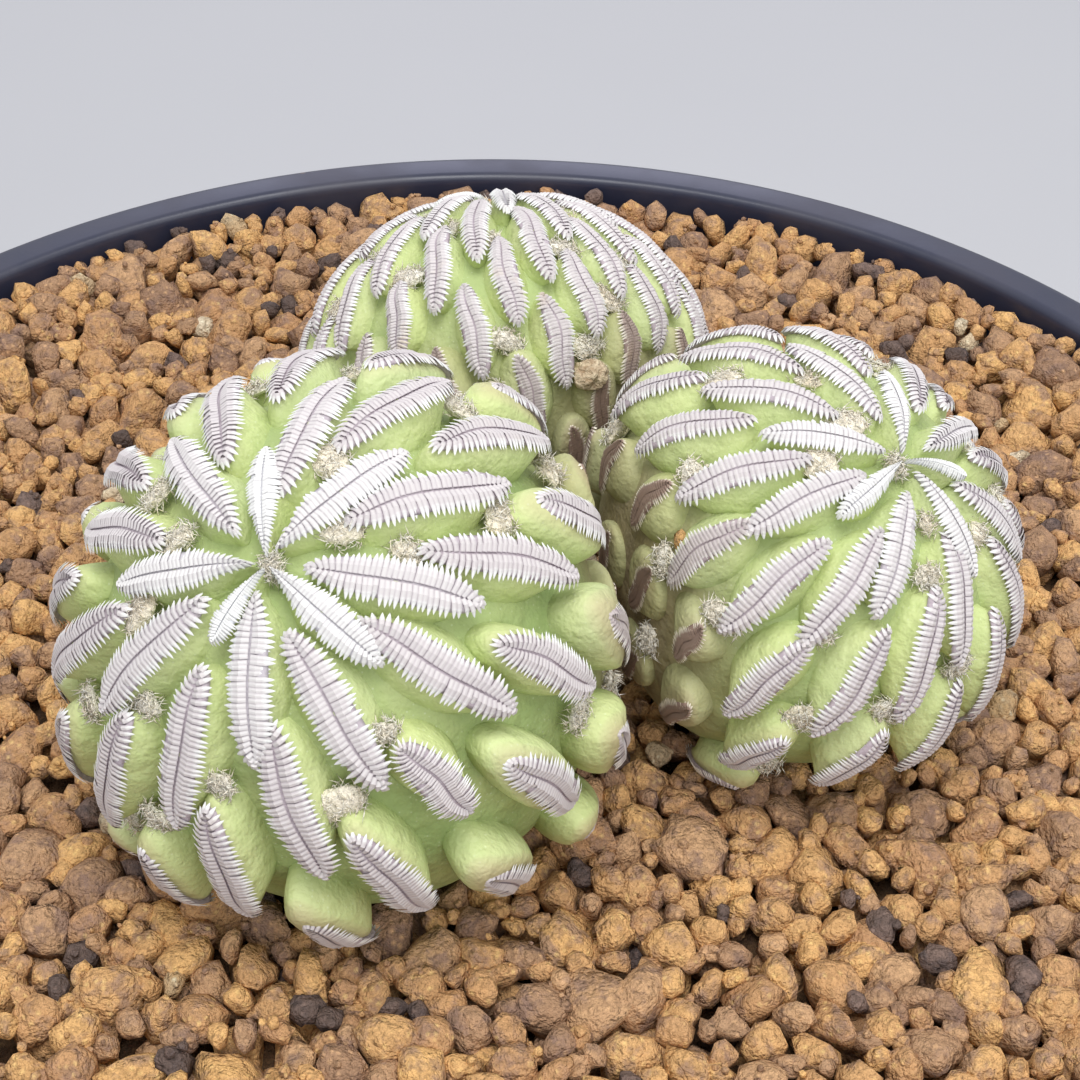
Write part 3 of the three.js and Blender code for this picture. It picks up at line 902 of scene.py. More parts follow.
def pot_radii(pot):
    """The wall's outer and inner radius as functions of height, in millimetres."""
    lip_bottom = (pot.height - pot.lip_depth) / MM
    foot = pot.base_radius / MM
    top = (pot.rim_radius - pot.rim_thickness + pot.wall) / MM

    def outer(z):
        return foot + z / lip_bottom * (top - foot)

    def inner(z):
        return outer(z) - pot.wall / MM

    return outer, inner, lip_bottom


def pot_outline(pot):
    """The pot's section from the axis under its floor, up outside, over the rim and down
    inside."""
    outer, inner, lip = pot_radii(pot)
    stand, width, corner = pot.stand_height / MM, pot.stand_width / MM, pot.corner / MM
    base, rim, crest = pot.base_radius / MM, pot.rim_radius / MM, pot.height / MM
    mouth = rim - pot.rim_thickness / MM
    floor = stand + pot.floor / MM
    return [
        (0, stand),
        (base - width, stand),
        (base - width, 0),
        (base, 0),
        (outer(stand), stand),
        (outer(lip - stand), lip - stand),
        (outer(lip), lip),
        (rim, lip),
        (rim, crest),
        (mouth, crest),
        (inner(lip), lip),
        (inner(floor + corner), floor + corner),
        (inner(floor + corner) - corner, floor),
        (0, floor),
    ]


def cut_away(piece, cutters):
    """Cuts the cutters out of the piece with one Boolean and removes them."""
    scene = bpy.context.scene
    collection = bpy.data.collections.new("cutters")
    scene.collection.children.link(collection)
    for index, (vertices, faces) in enumerate(cutters):
        mesh = bpy.data.meshes.new(f"cutter_{index}")
        rows = [row.tolist() for group in faces for row in group]
        mesh.from_pydata((vertices * MM).tolist(), [], rows)
        mesh.update()
        collection.objects.link(bpy.data.objects.new(f"cutter_{index}", mesh))
    modifier = piece.modifiers.new("holes", "BOOLEAN")
    modifier.operation = "DIFFERENCE"
    modifier.operand_type = "COLLECTION"
    modifier.collection = collection
    modifier.solver = "EXACT"
    bpy.context.view_layer.update()
    graph = bpy.context.evaluated_depsgraph_get()
    shape = bpy.data.meshes.new_from_object(piece.evaluated_get(graph))
    shape.set_sharp_from_angle(angle=math.radians(40))
    piece.modifiers.clear()
    piece.data = shape
    for cutter in list(collection.objects):
        bpy.data.objects.remove(cutter)
    bpy.data.collections.remove(collection)


def pot_cutters(pot):
    """The drain holes, one in the middle and six round it, and the four notches in the standing
    ring."""
    floor_top = (pot.stand_height + pot.floor) / MM
    centre_hole, hole, circle, holes = 7.0, 4.0, 22.0, 6
    half_width, notch_depth, notches = 4.5, 1.0, 4
    places = [(0.0, 0.0, centre_hole)]
    for i in range(holes):
        angle = TURN * i / holes
        places.append((circle * math.cos(angle), circle * math.sin(angle), hole))
    low, high = -1.0, floor_top + 1
    for x, y, radius in places:
        column = np.array([(0, low), (radius, low), (radius, high), (0, high)])
        vertices, faces = lathe(column, AROUND_HOLE)
        yield vertices + np.array([x, y, 0]), faces
    ring = (pot.base_radius - pot.stand_width / 2) / MM
    reach = pot.stand_width / MM
    for i in range(notches):
        angle = TURN * (i + 0.5) / notches
        out = np.array([math.cos(angle), math.sin(angle), 0])
        aside = np.array([-math.sin(angle), math.cos(angle), 0])
        signs = ((-1, -1), (1, -1), (1, 1), (-1, 1))
        square = np.array([out * (ring + a * reach) + aside * (b * half_width) for a, b in signs])
        under, over = square - [0, 0, notch_depth], square + [0, 0, notch_depth]
        rings = np.stack([under, over])[None]
        yield tubes(rings, under.mean(axis=0)[None], over.mean(axis=0)[None])


class CACTUS_OT_pot(bpy.types.Operator):
    """Makes the round plastic pot with its thick rim, standing ring and drain holes."""

    bl_idname = "cactus.pot"
    bl_label = "Pot"

    def execute(self, context):
        pot = context.scene.cactus_pot
        section = filleted(pot_outline(pot), pot.edge / MM)
        vertices, faces = lathe(section, AROUND_POT)
        piece = make_piece("pot_shell", vertices, faces, plastic_material(pot))
        cut_away(piece, pot_cutters(pot))
        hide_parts("pot")
        return {"FINISHED"}


class CACTUS_OT_hidden_parts(bpy.types.Operator):
    """Gives the drainage stones and the taproot inside the pot their materials."""

    bl_idname = "cactus.hidden_parts"
    bl_label = "Stones and root"

    def execute(self, context):
        tones = (0.45, 0.40, 0.32), (0.66, 0.60, 0.50), (0.34, 0.29, 0.23), (0.36, 0.31, 0.25)
        pumice = granule_material("drainage_pumice", *tones)
        for node, material in (("drainage_stones", pumice), ("taproot", bark_material())):
            mesh = frame["nodes"][node].data
            mesh.materials.clear()
            mesh.materials.append(material)
        return {"FINISHED"}


# Soil


def wall_at_soil(pot):
    """The pot's inner radius where the soil's surface lies."""
    return (pot.rim_radius - pot.rim_thickness) / MM


class CACTUS_OT_soil_bed(bpy.types.Operator):
    """Makes the bed of fine soil that shows between the granules, near black as painted shade in
    the gaps.
    """

    bl_idname = "cactus.soil_bed"
    bl_label = "Soil bed"

    def execute(self, context):
        pot, soil = context.scene.cactus_pot, context.scene.cactus_soil
        _, inner, lip = pot_radii(pot)
        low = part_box("soil")[0].z / MM
        level = soil.level / MM - 2.7
        gap = 0.4
        outer = [(r, level) for r in np.linspace(0, 1, 44)[::-1] * (inner(lip) - gap)]
        section = np.array([(0, low), (inner(low) - gap, low), *outer], float)
        vertices, faces = lathe(section, AROUND_SOIL)
        on_top = vertices[:, 2] > level - 0.1
        bumps = 0.5 * ripple(vertices, 3.1, 1) + 0.35 * ripple(vertices, 1.7, 2)
        heap = heaped(vertices[:, :2], pot, soil) - soil.level / MM
        vertices[:, 2] += np.where(on_top, bumps + heap, 0)
        # Fine soil coloured near black: its own brown deepened into painted shade for the gaps
        # between the granules.
        tones = (0.11, 0.06, 0.03), (0.17, 0.095, 0.045), (0.06, 0.035, 0.02), (0.07, 0.04, 0.03)
        material = granule_material("soil_dust", *tones)
        tone = 0.5 + 0.5 * ripple(vertices, 2.3, 3)
        piece = make_piece("soil_bed", vertices, faces, material, {"tone": tone})
        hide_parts("soil")
        return {"FINISHED"}


def fallen(random, radii, reach, apart, blocked):
    """Drops discs one after another, large ones first, where they touch no earlier one: a disc is
    kept if its centre is further from each other centre than apart times the two radii."""
    kept = np.zeros((0, 2))
    sizes = np.zeros(0)
    tries = 40
    for radius in radii:
        distance = np.sqrt(random.uniform(0, 1, tries)) * (reach - radius)
        angle = random.uniform(0, TURN, tries)
        places = np.stack([distance * np.cos(angle), distance * np.sin(angle)], axis=-1)
        gaps = np.linalg.norm(places[:, None] - kept[None], axis=-1) - apart * (sizes + radius)
        free = (gaps > 0).all(axis=1) & ~blocked(places, radius)
        if free.any():
            kept = np.concatenate([kept, places[free][:1]])
            sizes = np.append(sizes, radius)
    return kept, sizes


def ball_mesh(subdivisions):
    """Unit directions and triangles of an icosphere."""
    shape = bmesh.new()
    bmesh.ops.create_icosphere(shape, subdivisions=subdivisions, radius=1)
    directions = np.array([v.co[:] for v in shape.verts])
    triangles = np.array([[v.index for v in f.verts] for f in shape.faces])
    shape.free()
    return directions, triangles


def crumbs(centres, radii, count, random):
    """Small bits on the upper sides of granules: twenty-sided balls of uneven shape."""
    directions, triangles = ball_mesh(1)
    host = random.integers(0, len(radii), count)
    up = unit(random.normal(size=(count, 3)) * 0.75 + [0, 0, 1])
    size = random.uniform(0.12, 0.34, count)
    seats = centres[host] + up * (radii[host] * 0.93)[:, None]
    uneven = random.uniform(0.7, 1.2, (count, len(directions), 1))
    shapes = directions * uneven * size[:, None, None]
    faces = triangles + (np.arange(count) * len(directions))[:, None, None]
    return (seats[:, None] + shapes).reshape(-1, 3), [faces.reshape(-1, 3)]


def stones(centres, radii, random):
    """Crumbly lumps: a ball cut by eight random planes, whose distance in each direction is the
    least of the planes' distance / cos(angle), with four blunt knobs, squeezed along three random
    axes."""
    directions, triangles = ball_mesh(2)
    count = len(radii)
    planes = unit(random.normal(size=(count, 8, 3)))
    offsets = random.uniform(0.55, 0.92, (count, 1, 8))
    facing = np.einsum("vk,npk->nvp", directions, planes)
    reach = np.min(offsets / np.maximum(facing, 0.2), axis=-1)
    knobs = unit(random.normal(size=(count, 4, 3)))
    bulge = np.exp((np.einsum("vk,npk->nvp", directions, knobs) - 1) * 9).sum(axis=-1)
    reach = np.minimum(reach, 1.12) + 0.17 * bulge
    reach = reach * random.uniform(0.88, 1.12, reach.shape)
    shapes = directions[None] * reach[..., None]
    axes = np.linalg.qr(random.normal(size=(count, 3, 3)))[0]
    middle, least = random.uniform(0.78, 1, count), random.uniform(0.62, 0.9, count)
    squeeze = np.stack([np.ones(count), middle, least], axis=-1)
    stretch = np.einsum("nij,nj,nkj->nik", axes, squeeze, axes)
    shapes = np.einsum("nij,nvj->nvi", stretch, shapes)
    vertices = centres[:, None] + shapes * radii[:, None, None]
    faces = triangles[None] + (np.arange(count) * len(directions))[:, None, None]
    return vertices.reshape(-1, 3), [faces.reshape(-1, 3)]


def heaped(places, pot, soil):
    """Height of the granules' surface at places: the soil's level, plus the heap along the wall
    as a smooth step over its last 14 mm, plus a slow unevenness."""
    away = np.linalg.norm(places, axis=1)
    wall = wall_at_soil(pot)
    heap = soil.heap / MM * smooth_step(wall - 14, wall, away)
    flat = np.column_stack([places, np.zeros(len(places))])
    return soil.level / MM + heap + 0.35 * ripple(flat, 17, 8)


def near_head(places, heights, radius):
    """True where a granule of that radius would stand in a head."""
    spots = np.column_stack([places, heights])
    inside = np.zeros(len(places), bool)
    for head in HEADS.values():
        away = np.linalg.norm(spots - np.array(head["centre"]), axis=1)
        inside |= away < head["radius"] - 1.9 + radius * 0.6
    return inside


class CACTUS_OT_granules(bpy.types.Operator):
    """Strews two layers of clay, moist, weathered and pale granules over the bed, clear of the
    heads, and leaves one crumb lying on the right head."""

    bl_idname = "cactus.granules"
    bl_label = "Granules"

    def execute(self, context):
        pot, soil = context.scene.cactus_pot, context.scene.cactus_soil
        random = np.random.default_rng(soil.seed)
        smallest, largest, typical = soil.smallest / MM, soil.largest / MM, soil.typical / MM
        reach = wall_at_soil(pot) - 0.2

        def blocked(drop):
            def taken(places, radius):
                return near_head(places, heaped(places, pot, soil) - drop, radius)

            return taken

        def drawn(count, middle, spread, low, high):
            radii = middle * np.exp(spread * random.normal(size=count))
            return np.sort(np.clip(radii, low, high))[::-1]

        sizes = np.concatenate([
            drawn(1600, typical, 0.32, smallest * 1.3, largest),
            drawn(1500, smallest * 1.3, 0.2, smallest, typical),
        ])
        top, top_sizes = fallen(random, sizes, reach, 0.82, blocked(0.0))
        lower_sizes = drawn(1000, 1.2, 0.25, 0.7, 1.7)
        lower, lower_sizes = fallen(random, lower_sizes, reach, 0.8, blocked(LAYER_DROP))
        top_sunk = top_sizes * random.uniform(0.45, 1.05, len(top))
        lower_sunk = LAYER_DROP + lower_sizes * random.uniform(0.6, 1.0, len(lower))
        layers = (("", top, top_sizes, top_sunk), ("_below", lower, lower_sizes, lower_sunk))
        materials = {
            kind: granule_material(name, tuple(getattr(soil, kind)), *tones)
            for kind, (_, name, *tones) in KINDS.items()
        }
        for suffix, places, sizes, sunk in layers:
            centres = np.column_stack([places, heaped(places, pot, soil) - sunk])
            draw = random.uniform(0, 1, len(sizes))
            large = sizes > LARGE_GRANULE
            from_share = 0.0
            for kind, (to_share, *_) in KINDS.items():
                chosen = (draw >= from_share) & (draw < to_share)
                if kind == "brown":
                    chosen |= (draw >= from_share) & large
                elif kind != "clay":
                    chosen &= ~large
                from_share = to_share
                lumps = stones(centres[chosen], sizes[chosen] * STONE_SWELL, random)
                shown = 0 if suffix else chosen.sum() * 5 // 8
                bits = crumbs(centres[chosen], sizes[chosen] * CRUMB_SEAT, shown, random)
                tone = np.concatenate([
                    np.repeat(random.uniform(0, 1, len(part[0]) // corners), corners)
                    for part, corners in ((lumps, STONE_POINTS), (bits, CRUMB_POINTS))
                ])
                vertices, faces = joined([lumps, bits])
                name = f"{kind}_granules{suffix}"
                make_piece(name, vertices, faces, materials[kind], {"tone": tone})
        spot = stem_place("head_right", 62, -27, 1.7)[None]
        vertices, faces = stones(spot, np.array([0.55]), random)
        tone = np.full(len(vertices), 0.8)
        make_piece("stray_crumb", vertices, faces, materials["clay"], {"tone": tone})
        return {"FINISHED"}


# Plant


def stacked(*values):
    """Values that are brought to one shape and stacked as the last axis of points."""
    return np.stack(np.broadcast_arrays(*values), axis=-1)


def columns(*values):
    """Values for each tubercle, shaped so that they pair with its points."""
    return [value[:, None, None] for value in values]


def comb_sizes(head, n, shrunk):
    """The wear, half the length and half the width of each comb, as columns."""
    width = head["comb_width"] / 2 * grown(n) * shrunk
    return columns(worn(head, n), half_comb(head, n) * shrunk, width)


def body_shape(name, plant):
    """The plain stem under the tubercles: the head's own surface lowered by the depth of the
    grooves, which grows from the head's groove near the crown to just under the rise of a
    tubercle where the tubercles part from each other. Also gives how high each point lies, as a
    share of a tubercle."""
    head = HEADS[name]
    axes = tuple(axis[0] for axis in crown_axes(head, np.zeros(1)))
    polar = np.linspace(math.pi - 0.03, 0.03, STEM_RINGS)[:, None]
    turn = np.linspace(0, TURN, AROUND_STEM, endpoint=False)[None, :]
    polar, turn = np.broadcast_arrays(polar, turn)
    deepest = plant.rise / MM - 0.2
    start, end = polar_angle(head, np.array(head["parting"], float))
    depth = head["groove"] + (deepest - head["groove"]) * smooth_step(start, end, polar)
    points = sphere_point(head, axes, polar, turn, depth, np.zeros(polar.shape))
    foot = np.array([head["centre"] - axes[0] * (head["radius"] - deepest)])
    top = np.array([head["centre"] + axes[0] * (head["radius"] - head["groove"])])
    depths = np.append(depth.ravel(), [deepest, head["groove"]])
    height = 0.9 - depths / (plant.rise + plant.sink) * MM
    return tubes(pressed(points, name)[None], pressed(foot, name), pressed(top, name)), height


def tubercle_shapes(name, n, middle, plant, soil_level, random):
    """Hatchet-shaped tubercles. Going up by v, a ring narrows from its broad base to the comb's
    outline as (1 - v^p)^(1/p), where p grows from 1 to 2.6 with wear. The base lies nearer the
    crown than the edge, so that the outer end overhangs. Old tubercles are slender knobs with a
    waist at the root and a bare nose beyond the comb's inner end, less so where a neighbouring
    head crowds them."""
    head = HEADS[name]
    age, half, width = comb_sizes(head, n, shrinking(name, n, middle))
    spacing, crowd, parting = columns(
        room(head, n), crowding(middle, name, 4.0), smooth_step(*head["parting"], n)
    )
    slender = 0.46 * parting * (1 - 0.5 * crowd)
    turn = np.linspace(0, TURN, AROUND_TUBERCLE, endpoint=False)[None, None, :]
    climb = np.concatenate([np.linspace(0, 1, CLIMB_STEPS) ** 0.9, [1, 1, 1]])[None, :, None]
    narrowing = np.concatenate([np.ones(CLIMB_STEPS), [0.8, 0.5, 0.2]])[None, :, None]
    power = 1.0 + 1.6 * age
    waist = 1 - 0.34 * age * (1 - climb) ** 2
    swell = (1 - climb**power) ** (1 / power)
    plumpness, = columns(random.uniform(0.92, 1.06, n.shape))
    base_width = (0.56 - 0.06 * age) * spacing * (1 - slender) * plumpness
    edge_width = (0.68 + 0.14 * age) * width
    side = edge_width + (np.maximum(base_width, 0.9 * width) - edge_width) * swell
    phase, = columns(random.uniform(0, TURN, n.shape))
    side = side * narrowing * waist * (1 + 0.06 * np.sin(3 * turn + phase) * age)
    outer_end = (0.98 * half + 0.1 * swell) * narrowing
    inner_end = (0.98 * half + 0.1 * age + (0.5 - 0.3 * age) * swell) * narrowing
    along = np.where(np.cos(turn) > 0, outer_end, inner_end) * np.cos(turn)
    along = along - (0.5 + 0.3 * age) * swell
    aside = side * np.sin(turn)
    low = -(plant.rise + plant.sink) / MM
    t = along / half
    nose = 0.35 * age * np.exp(-(((t + 0.9) / 0.45) ** 2))
    top_drop = -0.3 + 0.24 * (1 - narrowing) + nose
    height = low + (top_drop - low) * climb + ridge(t, age) * climb
    local = stacked(along, aside, height)
    rings = on_head(name, n, local, soil_level)
    zero = np.zeros((len(n), 1))
    first, last = (
        on_head(name, n, stacked(zero, zero, end), soil_level)[:, 0] for end in (low, -0.05)
    )
    shown = climb + 0 * local[..., 0]
    values = np.concatenate([shown.ravel(), np.zeros(len(n)), np.ones(len(n))])
    return tubes(rings, first, last), values


def per_tube(values, rings, around):
    """A value per tube repeated for all of its points, in the order that tubes() gives them."""
    return np.concatenate([np.repeat(values, rings * around), values, values])


class CACTUS_OT_flesh(bpy.types.Operator):
    """Makes the green part of each head: its stem and its hatchet-shaped tubercles."""

    bl_idname = "cactus.flesh"
    bl_label = "Heads"

    def execute(self, context):
        plant, soil = context.scene.cactus_plant, context.scene.cactus_soil
        material = flesh_material(plant)
        level = soil.level / MM
        for name in HEADS:
            random = np.random.default_rng(plant.seed)
            n, middle = standing(name, level)
            stem, depths = body_shape(name, plant)
            shape, shown = tubercle_shapes(name, n, middle, plant, level, random)
            vertices, faces = joined([stem, shape])
            stem_count = len(stem[0])
            per = (len(shape[0]) - 2 * len(n)) // len(n)
            withered = crowding(middle, name, CROWDED) * aged(n) * 0.5
            tone = random.uniform(0, 1, len(n))
            wear = worn(HEADS[name], n)
            values = {"height": np.concatenate([depths, shown])}
            for key, of_stem, of_tubercles in (
                ("dry", 0.9 * crowding(stem[0], name, 5.5), withered),
                ("tone", np.full(stem_count, 0.5), tone),
                ("age", np.zeros(stem_count), wear),
            ):
                values[key] = np.concatenate([of_stem, per_tube(of_tubercles, per, 1)])
            piece = make_piece(f"{name}_flesh", vertices, faces, material, values)
            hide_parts(name)
        return {"FINISHED"}


def spine_shapes(name, n, shrunk, plant, soil_level, random):
    """Two rows of flat spines on each comb. A spine starts at the comb's middle line, leans more
    and more towards the comb's end (by 84 degrees times |t|^4.5), arches over the plate and bends
    down at its tip. Its section is a low roof, and its last part narrows to a point. On very
    young and old combs the spines are fused: flatter, touching each other, with shorter free
    tips. Also gives each vertex its run along the spine, and 1 at the spine's edges against 0 on
    its ridge."""
    head = HEADS[name]
    pitch = plant.spine_pitch / MM
    count = int(round(head["comb_length"] / pitch))
    t = np.linspace(-0.98, 0.98, count)
    side = np.array([-1.0, 1.0])
    grid = (len(n), 2, count)
    age, half, width = comb_sizes(head, n, shrunk)
    wobble = random.uniform(-0.05, 0.05, grid)
    t = t[None, None, :] + 0.15 / count * random.uniform(-1, 1, grid)
    lean = np.radians(84) * np.sign(t) * np.abs(t) ** 4.5 + np.radians(4) + wobble
    broken = np.where(random.uniform(0, 1, grid) < 0.05, 0.82, 1.0)
    reach = width * (0.36 + 0.64 * outline(t)) * random.uniform(0.93, 1.06, grid) * broken
    swing, = columns(0.14 * (1 - np.exp(-n / 14)))
    sway = swing * np.sin(t * 4.0 + random.uniform(0, TURN, (len(n), 1, 1)))
    across = side[None, :, None] * np.cos(lean)
    forward = np.sin(lean)
    bare, = columns(bare_share(name, n, shrunk))
    t = t + bare * (1 - t)
    step = 1.92 * half * (1 - bare) / count
    body = stacked(0.98 * half * t, sway, ridge(t, age))[..., None, :]
    out = stacked(forward, across)[..., None, :]
    lift = random.uniform(-0.02, 0.03, grid)[..., None]
    joining = np.maximum(np.exp(-n / 8), worn(head, n)) * random.uniform(0.6, 1.0, n.shape)
    fused = columns(0.25 + 0.75 * joining)[0] * np.ones(grid)
    run = stacked(0.05, 0.4, 0.66 + 0.12 * fused, 0.94)
    axis = np.empty(grid + (4, 3))
    axis[..., :2] = body[..., :2] + out * (reach[..., None] * run)[..., None]
    axis[..., 2] = body[..., 2] + arch(run) + lift * run
    wide = stacked(1, 1.06, 1.02 + 0.05 * fused, 0.5 + 0.12 * fused) * 0.5
    tall = np.array([0.02, 0.035, 0.04, 0.03]) * (1 - 0.5 * fused[..., None])
    left = stacked(-across, forward)[..., None, :]
    rings = np.empty(grid + (4, 3, 3))
    for k, (spread, raise_by) in enumerate(((1, 0), (0, 1), (-1, 0))):
        rings[..., k, :] = axis
        rings[..., k, :2] += left * (spread * (step[..., None] * wide))[..., None]
        rings[..., k, 2] += raise_by * tall
    shape = (len(n), 2 * count)
    rings = rings.reshape(shape + (4, 3, 3))
    root = axis[..., 0, :].reshape(shape + (3,))
    tip_point = np.empty(grid + (3,))
    tip_point[..., :2] = body[..., 0, :2] + out[..., 0, :] * (1.07 * reach)[..., None]
    tip_point[..., 2] = body[..., 0, 2] + arch(1.03) + lift[..., 0]
    tip_point = tip_point.reshape(shape + (3,))
    placed, first, last = (on_head(name, n, part, soil_level) for part in (rings, root, tip_point))
    total = len(n) * 2 * count
    geometry = tubes(placed.reshape(total, 4, 3, 3), first.reshape(-1, 3), last.reshape(-1, 3))
    along = np.concatenate([np.repeat(run.ravel(), 3), np.zeros(total), np.ones(total)])
    edge = np.concatenate([np.tile([1.0, 0.0, 1.0], 4 * total), np.full(2 * total, 0.4)])
    return geometry, {"run": along, "edge": edge}, 2 * count


def plate_shapes(name, n, shrunk, soil_level):
    """The thin plate under each comb's spines. Its upper side follows their arch out to 0.8 of
    their length, a little lower, and its underside is flat."""
    head = HEADS[name]
    age, half, width = comb_sizes(head, n, shrunk)
    t = np.linspace(-0.99, 0.99, PLATE_RINGS)[None, :, None]
    across = np.array([1.0, 0.8, 0.55, 0.28, 0.0, -0.28, -0.55, -0.8, -1.0, -0.5, 0.5])
    upper = np.array([1, 1, 1, 1, 1, 1, 1, 1, 1, 0, 0])
    share = 0.8 * (0.3 + 0.7 * outline(t))
    aside = width * share * across
    bare, = columns(bare_share(name, n, shrunk))
    t = t + bare * (1 - t)
    top = arch(0.8 * np.abs(across)) - 0.08
    height = np.where(upper, top, -0.32) + ridge(t, age)
    rings = on_head(name, n, stacked(half * t, aside, height), soil_level)
    ends = []
    for end in (-1.04, 1.04):
        place = end + bare[:, 0] * (1 - end)
        crest = ridge(place, age[:, 0]) - 0.15
        point = stacked(half[:, 0] * place, 0.0, crest)
        ends.append(on_head(name, n, point, soil_level)[:, 0])
    return tubes(rings, ends[0], ends[1]), rings.shape[1] * rings.shape[2]


def shrinking(name, n, middle):
    """Size of each comb as a share of the full one: old ones between two heads are up to 0.2
    smaller."""
    return 1 - 0.2 * crowding(middle, name, CROWDED) * smooth_step(15, 40, n)


def comb_state(name, n, middle, soil_level):
    """Age, youth and dryness of each comb. Combs dry where heads touch and a little near the
    soil."""
    squeezed = 0.95 * crowding(middle, name, CROWDED) * smooth_step(12, 40, n)
    low = 0.35 * smooth_step(soil_level + 4.5, soil_level + 1.5, middle[:, 2])
    return {"age": aged(n), "young": np.exp(-n / 4.5), "dry": np.maximum(squeezed, low)}


class CACTUS_OT_combs(bpy.types.Operator):
    """Makes the long combs of flattened spines on the tubercles' edges, and the plates under
    them."""

    bl_idname = "cactus.combs"
    bl_label = "Combs"

    def execute(self, context):
        plant, soil = context.scene.cactus_plant, context.scene.cactus_soil
        spines, plates = comb_material(plant), core_material(plant)
        level = soil.level / MM
        for name in HEADS:
            random = np.random.default_rng(plant.seed + 1)
            n, middle = standing(name, level)
            state = comb_state(name, n, middle, level)
            shrunk = shrinking(name, n, middle)
            (vertices, faces), marks, per_comb = spine_shapes(name, n, shrunk, plant, level, random)
            values = {
                key: per_tube(np.repeat(value, per_comb), 4, 3) for key, value in state.items()
            }
            values["tone"] = per_tube(random.uniform(0, 1, len(n) * per_comb), 4, 3)
            values.update(marks)
            make_piece(f"{name}_combs", vertices, faces, spines, values, smooth=False)
            (vertices, faces), per_plate = plate_shapes(name, n, shrunk, level)
            values = {key: per_tube(value, per_plate, 1) for key, value in state.items()}
            make_piece(f"{name}_plates", vertices, faces, plates, values)
        return {"FINISHED"}


def tuft(random, centres, outwards, asides, radii, reach):
    """Spindle-shaped hairs: each starts on the upper side of its cushion, lies nearly along it,
    is thickest at 0.4 of its way and bends off from there to its tip."""
    count = len(centres) * HAIRS
    outward = np.repeat(outwards, HAIRS, axis=0)
    aside = np.repeat(asides, HAIRS, axis=0)
    radius = np.repeat(radii, HAIRS)[:, None]
    seat = unit(outward * 0.6 + random.normal(size=(count, 3)) * 0.75)
    rise = (seat * outward).sum(axis=-1, keepdims=True)
    flat = seat - 0.55 * rise * outward + 0.55 * (seat * aside).sum(axis=-1, keepdims=True) * aside
    start = np.repeat(centres, HAIRS, axis=0)
    start = start + flat * radius * random.uniform(0.85, 1.02, (count, 1))
    loose = random.uniform(-0.1, 0.52, (count, 1)) ** 2 * 2
    drift = random.normal(size=(count, 3))
    drift -= (drift * seat).sum(axis=-1, keepdims=True) * seat
    heading = unit(unit(drift) + seat * loose)
    lengths = random.uniform(0.4, 1.0, (count, 1)) * reach
    middle = start + heading * lengths * 0.4 + seat * 0.06
    tip = start + heading * lengths + random.normal(size=(count, 3)) * 0.12 * reach
    first = unit(np.cross(heading, random.normal(size=(count, 3))))
    second = np.cross(heading, first)
    turn = (np.arange(3) * TURN / 3)[None, :, None]
    ring = first[:, None] * np.cos(turn) + second[:, None] * np.sin(turn)
    rings = middle[:, None] + ring * HAIR_RADIUS
    return tubes(rings[:, None], start, tip), count


def pads(centres, outwards, asides, radii):
    """Lumpy cushions: balls with a rippled surface, flattened by 0.55 along the outward direction
    and stretched by 0.55 sideways."""
    directions, triangles = ball_mesh(3)
    count = len(centres)
    lumps = 0.88 + 0.7 * np.stack([
        0.2 * ripple(directions, 1.5, 20 + i)
        + 0.13 * ripple(directions, 0.6, 60 + i)
        + 0.07 * ripple(directions, 0.3, 90 + i)
        for i in range(count)
    ])
    shapes = directions[None] * lumps[..., None] * radii[:, None, None]
    rise = np.einsum("nvk,nk->nv", shapes, outwards)
    wide = np.einsum("nvk,nk->nv", shapes, asides)
    shapes = shapes - 0.55 * rise[..., None] * outwards[:, None]
    vertices = centres[:, None] + (shapes + 0.55 * wide[..., None] * asides[:, None])
    faces = triangles[None] + (np.arange(count) * len(directions))[:, None, None]
    return vertices.reshape(-1, 3), [faces.reshape(-1, 3)]


class CACTUS_OT_wool(bpy.types.Operator):
    """Puts pads of pale wool with loose hairs above the older tubercles and in each crown."""

    bl_idname = "cactus.wool"
    bl_label = "Wool"

    def execute(self, context):
        plant, soil = context.scene.cactus_plant, context.scene.cactus_soil
        material = wool_material(plant)
        level = soil.level / MM
        reach = plant.wool_length / MM
        for name, head in HEADS.items():
            random = np.random.default_rng(plant.seed + 2)
            n, _ = standing(name, level)
            old = n[(n > 8) & (random.uniform(0, 1, len(n)) < 0.6)]
            local = np.zeros((len(old), 1, 3))
            local[:, 0, 0] = -half_comb(head, old) - 0.6 - 0.6 * worn(head, old)
            local[:, 0, 1] = random.uniform(-0.4, 0.4, len(old))
            local[:, 0, 2] = -0.95 - 0.45 * worn(head, old)
            centres = on_head(name, old, local, level)[:, 0]
            outwards = unit(centres - np.array(head["centre"]))
            crown = crown_axes(head, np.zeros(1))[0]
            tip = np.array(head["centre"]) + crown * (head["radius"] - 1.25)
            centres = np.concatenate([centres, tip])
            outwards = np.concatenate([outwards, crown])
            tilted = unit(random.normal(size=outwards.shape) * 0.5 + crown)
            asides = unit(np.cross(outwards, tilted))
            radii = np.append(random.uniform(0.5, 0.95, len(old)), 0.4)
            cushions = pads(centres, outwards, asides, radii)
            hairs, count = tuft(random, centres, outwards, asides, radii, reach)
            vertices, faces = joined([cushions, hairs])
            tone = np.concatenate([
                np.repeat(random.uniform(0, 1, len(centres)), len(cushions[0]) // len(centres)),
                per_tube(random.uniform(0, 1, count), 1, 3),
            ])
            make_piece(f"{name}_wool", vertices, faces, material, {"tone": tone})
        return {"FINISHED"}


